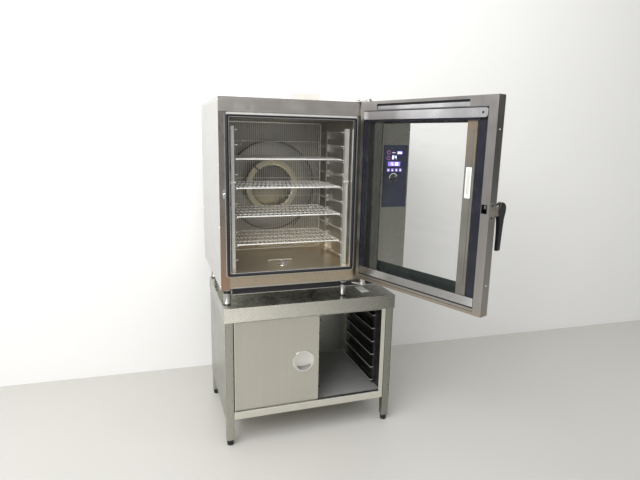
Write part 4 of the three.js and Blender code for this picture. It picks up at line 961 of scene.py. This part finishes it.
def door_details():
    """Strips, seals, prints, lamp parts and ribs on the inner side of the door."""
    # The top rail strip and the bottom bar's ribs take the bars' painted reflection bands.
    slabs("top_rail_strip", door, TOP_BAR, "door", "bright_steel", 0.6,
          (RAIL_S, (3.0, 4.6), (817, 831)), (RAIL_S, (3.6, 4.6), (816, 832.5)))
    slabs("top_rail_backing", door, SEAL, "door", "black_rubber", 0.2,
          ((100, 617), (9.0, 10.0), (812, 846)), ((100, 617), (2.4, 9.4), (844, 846)))
    slabs("inner_glass_print", door, BORDER, "inner_glass", "clear_glass", 0.0,
          ((31.4, 58), INNER_PRINT_T, (69.6, 772.2)), ((649, 688.6), INNER_PRINT_T, (69.6, 772.2)),
          ((31.4, 688.6), INNER_PRINT_T, (764, 772.2)))
    slabs("outer_glass_print", door, OUTER_BORDER, "door", "clear_glass", 0.0,
          ((1.2, 100), OUTER_PRINT_T, (2, 853)), ((600, 727.4), OUTER_PRINT_T, (2, 853)),
          ((100, 600), OUTER_PRINT_T, (2, 106)), ((100, 600), OUTER_PRINT_T, (756, 853)))
    slabs("door_rail_seals", door, SEAL, "door", "black_rubber", 0.2,
          (SEAL_S, (-1.0, 0.4), (26.5, 32.6)), (SEAL_S, (-0.6, 0.4), (13.5, 15.5)),
          (SEAL_S, (-1.0, 0.4), (809.4, 813.4)))
    slabs("lamp_lens_latch_side", door, LENS, "door", "lamp_lens", 0.5,
          ((603, 629), (11.2, 12.4), (462, 584)))
    slabs("lamp_lens_window", door, LENS_WINDOW, "door", "lamp_lens", 0.3,
          ((609, 623), (10.6, 11.3), (478, 572)))
    slabs("lamp_housing_tint", door, TAN, "door", "lamp_lens", 0.3,
          ((594, 638), (13.2, 13.9), (600, 788)))
    screw = Shape(door)
    screw.turned("y", (668, 0, 791), [
        (0.4, -1.9), (5.2, -1.9), (4.8, -2.3), (2.2, -2.35), (1.8, -2.1), (0.3, -2.1),
    ], 20)
    screw.make("top_bar_screw", DARK_FIXING, "inner_glass", slot="dark_steel")
    slabs("bottom_bar_ribs", door, BOTTOM_BAR, "inner_glass", "bright_steel", 0.0,
          *(((60, 660), (-2.35, -1.95), (z, z + 1.6)) for z in (40, 47.5, 55)))


# ---- Stand ----
LEG_X = {"left": 4, "right": 840}
LEG_Y = {"front": 8, "rear": 552}
LEG_SIDE = 38
LEG_CORNER = 3.5


def stand_leg(label):
    """A square leg with rounded corners, its levelling stud and its plastic foot."""
    depth, side = label.split("_")
    x, y = LEG_X[side], LEG_Y[depth]
    size, radius = LEG_SIDE, LEG_CORNER
    outline = []
    for cx, cy, start in ((x + size - radius, y + radius, -90), (x + size - radius, y + size - radius, 0),
                          (x + radius, y + size - radius, 90), (x + radius, y + radius, 180)):
        outline += arc((cx, cy), radius, start, start + 90, 4)
    middle = (x + size / 2, y + size / 2)
    inset = [((a - middle[0]) * 0.96 + middle[0], (b - middle[1]) * 0.96 + middle[1]) for a, b in outline]
    tube = Shape(stand)
    tube.rings([[(a, b, z) for a, b in ring] for ring, z in
                ((inset, 28.6), (outline, 29.6), (outline, 300.0), (outline, 711.5))], False)
    tube.turned("z", (*middle, 0), [(3, 13.6), (7, 13.6), (7, 28.7), (3, 28.7)], 24)
    tube.make("leg_tube_" + label, LEG_SHEET, "cabinet", ["stand_leg_" + label], "sheet_steel")
    foot = Shape(stand)
    foot.turned("z", (*middle, 0), [
        (2, 0), (15.4, 0), (16.4, 1.2), (16.4, 9), (15.4, 10.6), (9, 12), (8.2, 13.6), (2, 13.6),
    ], 36)
    foot.turned("z", (*middle, 0), [(7.1, 17), (17.5, 17.6), (18.6, 19), (18.6, 28.4), (7.1, 28.5)], 36)
    foot.make("leg_foot_" + label, FEET, "cabinet", slot="black_plastic")


CUP_Z = 400
CUP_MOUTH = 47.5
CUP_DEPTH = 8.2


def cup_pull(label, x, face):
    """A polished bowl with a rolled rim, set in its sliding door."""
    shape = Shape(stand)
    bowl = [(CUP_MOUTH * i / 10, face - 0.7 + CUP_DEPTH * (1 - (i / 10) ** 3)) for i in range(1, 11)]
    rim = [(49.4, face - 0.9), (52, face - 1.2), (54.6, face - 1.0), (56.6, face - 0.5), (57, face - 0.1)]
    back = [(49, face + 0.2)] + [(r, y + 0.6) for r, y in reversed(bowl)]
    middle = bowl[0][1]
    profile = [(0.3, middle + 0.05)] + bowl + rim + back + [(0.3, middle + 0.65)]
    shape.turned("y", (x, 0, CUP_Z), profile, 64)
    shape.make("cup_dish_" + label, CHROME, "stand_door_" + label, ["cup_pull_" + label],
               "bright_steel", sharp=60)


RUNNER_FIRST = 191
RUNNER_PITCH = 75.2
RUNNER_LEVELS = [RUNNER_FIRST + RUNNER_PITCH * k for k in range(6)]
RUNNER_Y = (115, 500)


def runner_frame(side, wall, way, tone):
    """Folded shelves on two uprights, in near-black steel that paints the shade between them, each with a
    rolled edge and a lipped front; the edges take `tone`.
    """
    shelves = Shape(stand)
    for y in (121, 474):
        shelves.block(sorted((wall, wall + way * 10)), (y, y + 20), (166.9, 597))
    for z in RUNNER_LEVELS:
        shelves.block(sorted((wall + way * 9, wall + way * 26)), RUNNER_Y, (z - 1.5, z))
        shelves.block(sorted((wall + way * 9, wall + way * 10.5)), RUNNER_Y, (z - 1.5, z + 18))
    name = "runner_frame_" + side
    shelves.make("runner_shelves_" + side, SHADE_STEEL, "cabinet", [name], "sheet_steel", bevel=0.3)
    edges = Shape(stand)
    for z in RUNNER_LEVELS:
        at = wall + way * 26
        edges.tube([(at, 115, z - 1), (at, 118, z - 1), (at, 498, z - 1), (at, 500, z - 1)], 1.7, 8)
        edges.block(sorted((wall + way * 9, wall + way * 26)), (114.4, 115.6), (z - 2.4, z + 1.6))
    edges.make("runner_edges_" + side, tone, "cabinet", slot="sheet_steel")


def vent():
    """The vent box on the roof: a tapered hood with louvres, over its round duct."""
    x, y, low, high = (419, 586), (359, 443), 883.5, 943
    hood = Shape(oven)
    rings = []
    for lift, lean in ((low, 0), (low + 3, 0.6), (high - 4, 11), (high - 1, 12.5), (high, 15)):
        inset = 2 if lift == high else 0
        rings.append([(x[0] + lean, y[0] + inset, lift), (x[1] - inset, y[0] + inset, lift),
                      (x[1] - inset, y[1] - inset, lift), (x[0] + lean, y[1] - inset, lift)])
    hood.rings(rings, False)
    for i in range(4):
        z = low + 12 + i * 9
        hood.block((x[1] - 0.5, x[1]), (y[0] + 10, y[1] - 10), (z, z + 3))
    hood.make("vent_hood", VENT_PAINT, "cabinet", ["vent_box"], "bright_steel", bevel=1.0)
    duct = Shape(oven)
    middle = ((x[0] + x[1]) / 2, (y[0] + y[1]) / 2)
    duct.turned("z", (*middle, 0), [
        (33.6, 801), (34, 801), (34, 884.5), (38, 884.8), (38, 883.6), (33.6, 883.4),
    ], 40)
    duct.make("vent_duct_pipe", BRIGHT, "cabinet", slot="bright_steel")


def base_skirt():
    """The folded skirt under the oven's front, painted near black for the shade under the oven, with a
    bright lower edge.
    """
    # Painted shade: the skirt is dressed in near-black rubber colour.
    slabs("base_skirt", oven, SEAL, "cabinet", "dark_steel", 0.4,
          ((56, 902), (30, 31.6), (-33, -0.4)), ((56, 902), (30, 44), (-33, -31.6)))
    slabs("base_skirt_edge", oven, SHEET, "cabinet", "sheet_steel", 0.3,
          ((57, 900), (28.8, 30.1), (-33.4, -30.4)))


def stand_details():
    """Linings inside the stand, the back and right inner ones darker as painted shade; dark lines of painted
    shadow and a bright line of painted highlight on its front rail; and a plate on its top that glows with
    painted light.
    """
    # Painted shade: darker linings on the stand's back wall and its right inner wall.
    slabs("stand_back_shade_lining", stand, BACK_SHADE_STEEL, "cabinet", "sheet_steel", 0.3,
          ((44, 838), (588.4, 589.9), (168, 640)))
    slabs("stand_inner_wall_shade", stand, SHADE_STEEL, "cabinet", "sheet_steel", 0.3,
          ((838.4, 839.6), (48, 540), (168, 640)))
    slabs("stand_shelf_lining", stand, SHELF_STEEL, "cabinet", "sheet_steel", 0.0,
          ((44, 838), (48, 586), (166.65, 166.87)))
    # Painted shadow: dark lines at the sides of the stand's front opening.
    slabs("stand_front_shadow_lines", stand, SEAL, "cabinet", "dark_steel", 0.2,
          ((837.6, 839.9), (9.2, 10.4), (138, 650)), ((42.3, 45.6), (9.2, 10.4), (176, 641)))
    # Painted highlight: a bright line along the top edge of the rail.
    slabs("stand_rail_highlight", stand, BRIGHT, "cabinet", "bright_steel", 0.4,
          ((50, 837), (9.0, 10.4), (172.6, 176.2)))
    # Painted light: the plate on the top glows with the lamp lens material.
    slabs("stand_top_plate", stand, LENS, "cabinet", "bright_steel", 0.5,
          ((728, 772), (83, 180), (714.2, 716)))


# ---- Stage ----
FLOOR_REACH = 12.0
WALL_LEFT = (-3.2, 0.987)
WALL_RIGHT = (9.0, 0.529)
WALL_HEIGHT = 5.0


def stage_material(name, colour, rough, mottle, one_sided=False):
    """Mottled paint; a one-sided one is clear from behind."""
    n = Nodes(name)
    patch = n.noise(n.place, 0.7, 3.0, 0.5)
    fine = n.noise(n.place, 240.0, 3.0, 0.6)
    base = n.blend(n.spread(patch, 0.3, 0.7), shaded(colour, 1 - mottle), shaded(colour, 1 + mottle * 0.5))
    base = n.blend(n.spread(fine, 0.45, 0.75, 0.0, mottle), base, shaded(colour, 0.9))
    n.bump(fine, 0.1, 0.0004)
    material = n.finish(base, n.spread(patch, 0.3, 0.7, rough - 0.05, rough + 0.08))
    if one_sided:
        geometry = n.make("ShaderNodeNewGeometry")
        clear = n.make("ShaderNodeBsdfTransparent")
        mix = n.make("ShaderNodeMixShader")
        output = next(node for node in n.tree.nodes if node.type == "OUTPUT_MATERIAL")
        n.link(geometry.outputs["Backfacing"], mix.inputs[0])
        n.link(n.shader.outputs[0], mix.inputs[1])
        n.link(clear.outputs[0], mix.inputs[2])
        n.link(mix.outputs[0], output.inputs["Surface"])
    return material


def flat_stage(name, corners, material):
    mesh = bpy.data.meshes.new(name)
    mesh.from_pydata(corners, [], [tuple(range(len(corners)))])
    mesh.materials.append(material)
    piece = bpy.data.objects.new(name, mesh)
    bpy.context.scene.collection.objects.link(piece)


def stage():
    """A wide plain floor, and a wall behind the object."""
    floor = stage_material("floor_paint", (0.50, 0.492, 0.462), 0.38, 0.02)
    corners = ((-1, -1), (1, -1), (1, 1), (-1, 1))
    flat_stage("floor", [(x * FLOOR_REACH, y * FLOOR_REACH, 0) for x, y in corners], floor)
    wall = stage_material("wall_paint", (0.86, 0.86, 0.85), 0.85, 0.01, one_sided=True)
    flat_stage("backdrop", [
        (*WALL_LEFT, 0), (*WALL_RIGHT, 0), (*WALL_RIGHT, WALL_HEIGHT), (*WALL_LEFT, WALL_HEIGHT),
    ], wall)


def area_light(name, place, target, size, power):
    data = bpy.data.lights.new(name, "AREA")
    data.shape = "RECTANGLE"
    data.size, data.size_y = size
    data.energy = power
    lamp = bpy.data.objects.new(name, data)
    lamp.location = place
    lamp.rotation_euler = (Vector(target) - Vector(place)).to_track_quat("-Z", "Y").to_euler()
    bpy.context.scene.collection.objects.link(lamp)


WORLD_TONES = ((0.52, (0.30, 0.295, 0.29)), (0.92, (1.0, 1.0, 1.0)))
WORLD_LEFT_RIGHT = (1.65, 0.35)


def lighting():
    """A world that is lighter above and to the left, and four soft lamps."""
    scene = bpy.context.scene
    scene.view_settings.view_transform = "Standard"
    world = bpy.data.worlds.new("studio")
    scene.world = world
    world.use_nodes = True
    tree = world.node_tree
    place = tree.nodes.new("ShaderNodeTexCoord")
    split = tree.nodes.new("ShaderNodeSeparateXYZ")
    tree.links.new(place.outputs["Generated"], split.inputs[0])
    ramp = tree.nodes.new("ShaderNodeValToRGB")
    for stop, (position, tone) in zip(ramp.color_ramp.elements, WORLD_TONES):
        stop.position = position
        stop.color = (*tone, 1.0)
    lift, side = (tree.nodes.new("ShaderNodeMapRange") for _ in range(2))
    for node, axis in ((lift, "Z"), (side, "X")):
        node.inputs["From Min"].default_value = -1.0
        node.inputs["From Max"].default_value = 1.0
        tree.links.new(split.outputs[axis], node.inputs["Value"])
    side.inputs["To Min"].default_value, side.inputs["To Max"].default_value = WORLD_LEFT_RIGHT
    tree.links.new(lift.outputs["Result"], ramp.inputs["Fac"])
    background = tree.nodes["Background"]
    tree.links.new(ramp.outputs["Color"], background.inputs["Color"])
    tree.links.new(side.outputs["Result"], background.inputs["Strength"])
    area_light("key", (-2.6, -2.2, 3.4), (0.1, 0.4, 0.8), (2.6, 2.0), 108)
    area_light("wall_wash", (-1.9, -0.4, 3.3), (-1.7, 1.0, 1.3), (3.0, 0.8), 26)
    area_light("right_wash", (1.2, -0.9, 3.2), (1.9, 0.8, 0.5), (2.2, 1.0), 16)
    area_light("front_fill", (-2.0, -3.2, 2.6), (-0.2, 0.2, 1.2), (1.2, 0.7), 22)


# ---- Camera ----
CAMERA_AT = (-0.8022, -2.3142, 1.5012)
CAMERA_TURN = (18.74, 11.41, 1.17)
CAMERA_LENS = 28.25


def camera():
    """The view of the photo: turned right, tipped down and rolled a little."""
    yaw, pitch, roll = (math.radians(a) for a in CAMERA_TURN)
    ahead = Vector((math.sin(yaw) * math.cos(pitch), math.cos(yaw) * math.cos(pitch), -math.sin(pitch)))
    across = Vector((math.cos(yaw), -math.sin(yaw), 0))
    up = across.cross(ahead)
    right = across * math.cos(roll) + up * math.sin(roll)
    top = up * math.cos(roll) - across * math.sin(roll)
    data = bpy.data.cameras.new("camera")
    data.lens = CAMERA_LENS
    data.sensor_width = 36.0
    view = bpy.data.objects.new("camera", data)
    turn = Matrix((right, top, -ahead)).transposed().to_4x4()
    view.matrix_world = Matrix.Translation(CAMERA_AT) @ turn
    bpy.context.scene.collection.objects.link(view)
    bpy.context.scene.camera = view


camera()
lighting()
stage()
dress_cad()
guard()
rack_support("left", (59, 77), (47, 66), 1)
rack_support("right", (611, 636), (624, 643), -1)
for index, level in enumerate(LEVELS_LOADED):
    rack(index + 1, LEVELS[level])
injector_nozzle()
fan()
heater()
gasket()
strainer()
display()
knob()
for label, foot_x, foot_y in (("front_left", 31, 30), ("front_right", 622, 30),
                              ("rear_left", 31, 530), ("rear_right", 622, 530)):
    oven_foot(label, foot_x, foot_y)
    stand_leg(label)
striker_plate()
fixings()
panel_screws()
door_details()
vent()
base_skirt()
# The left runner edges take the near-black steel as painted shade, the right ones bright wire as a painted
# highlight.
runner_frame("left", 493, 1, SHADE_STEEL)
runner_frame("right", 837.9, -1, WIRE)
cup_pull("front", 396, 17.7)
cup_pull("rear", 126, 30.7)
stand_details()
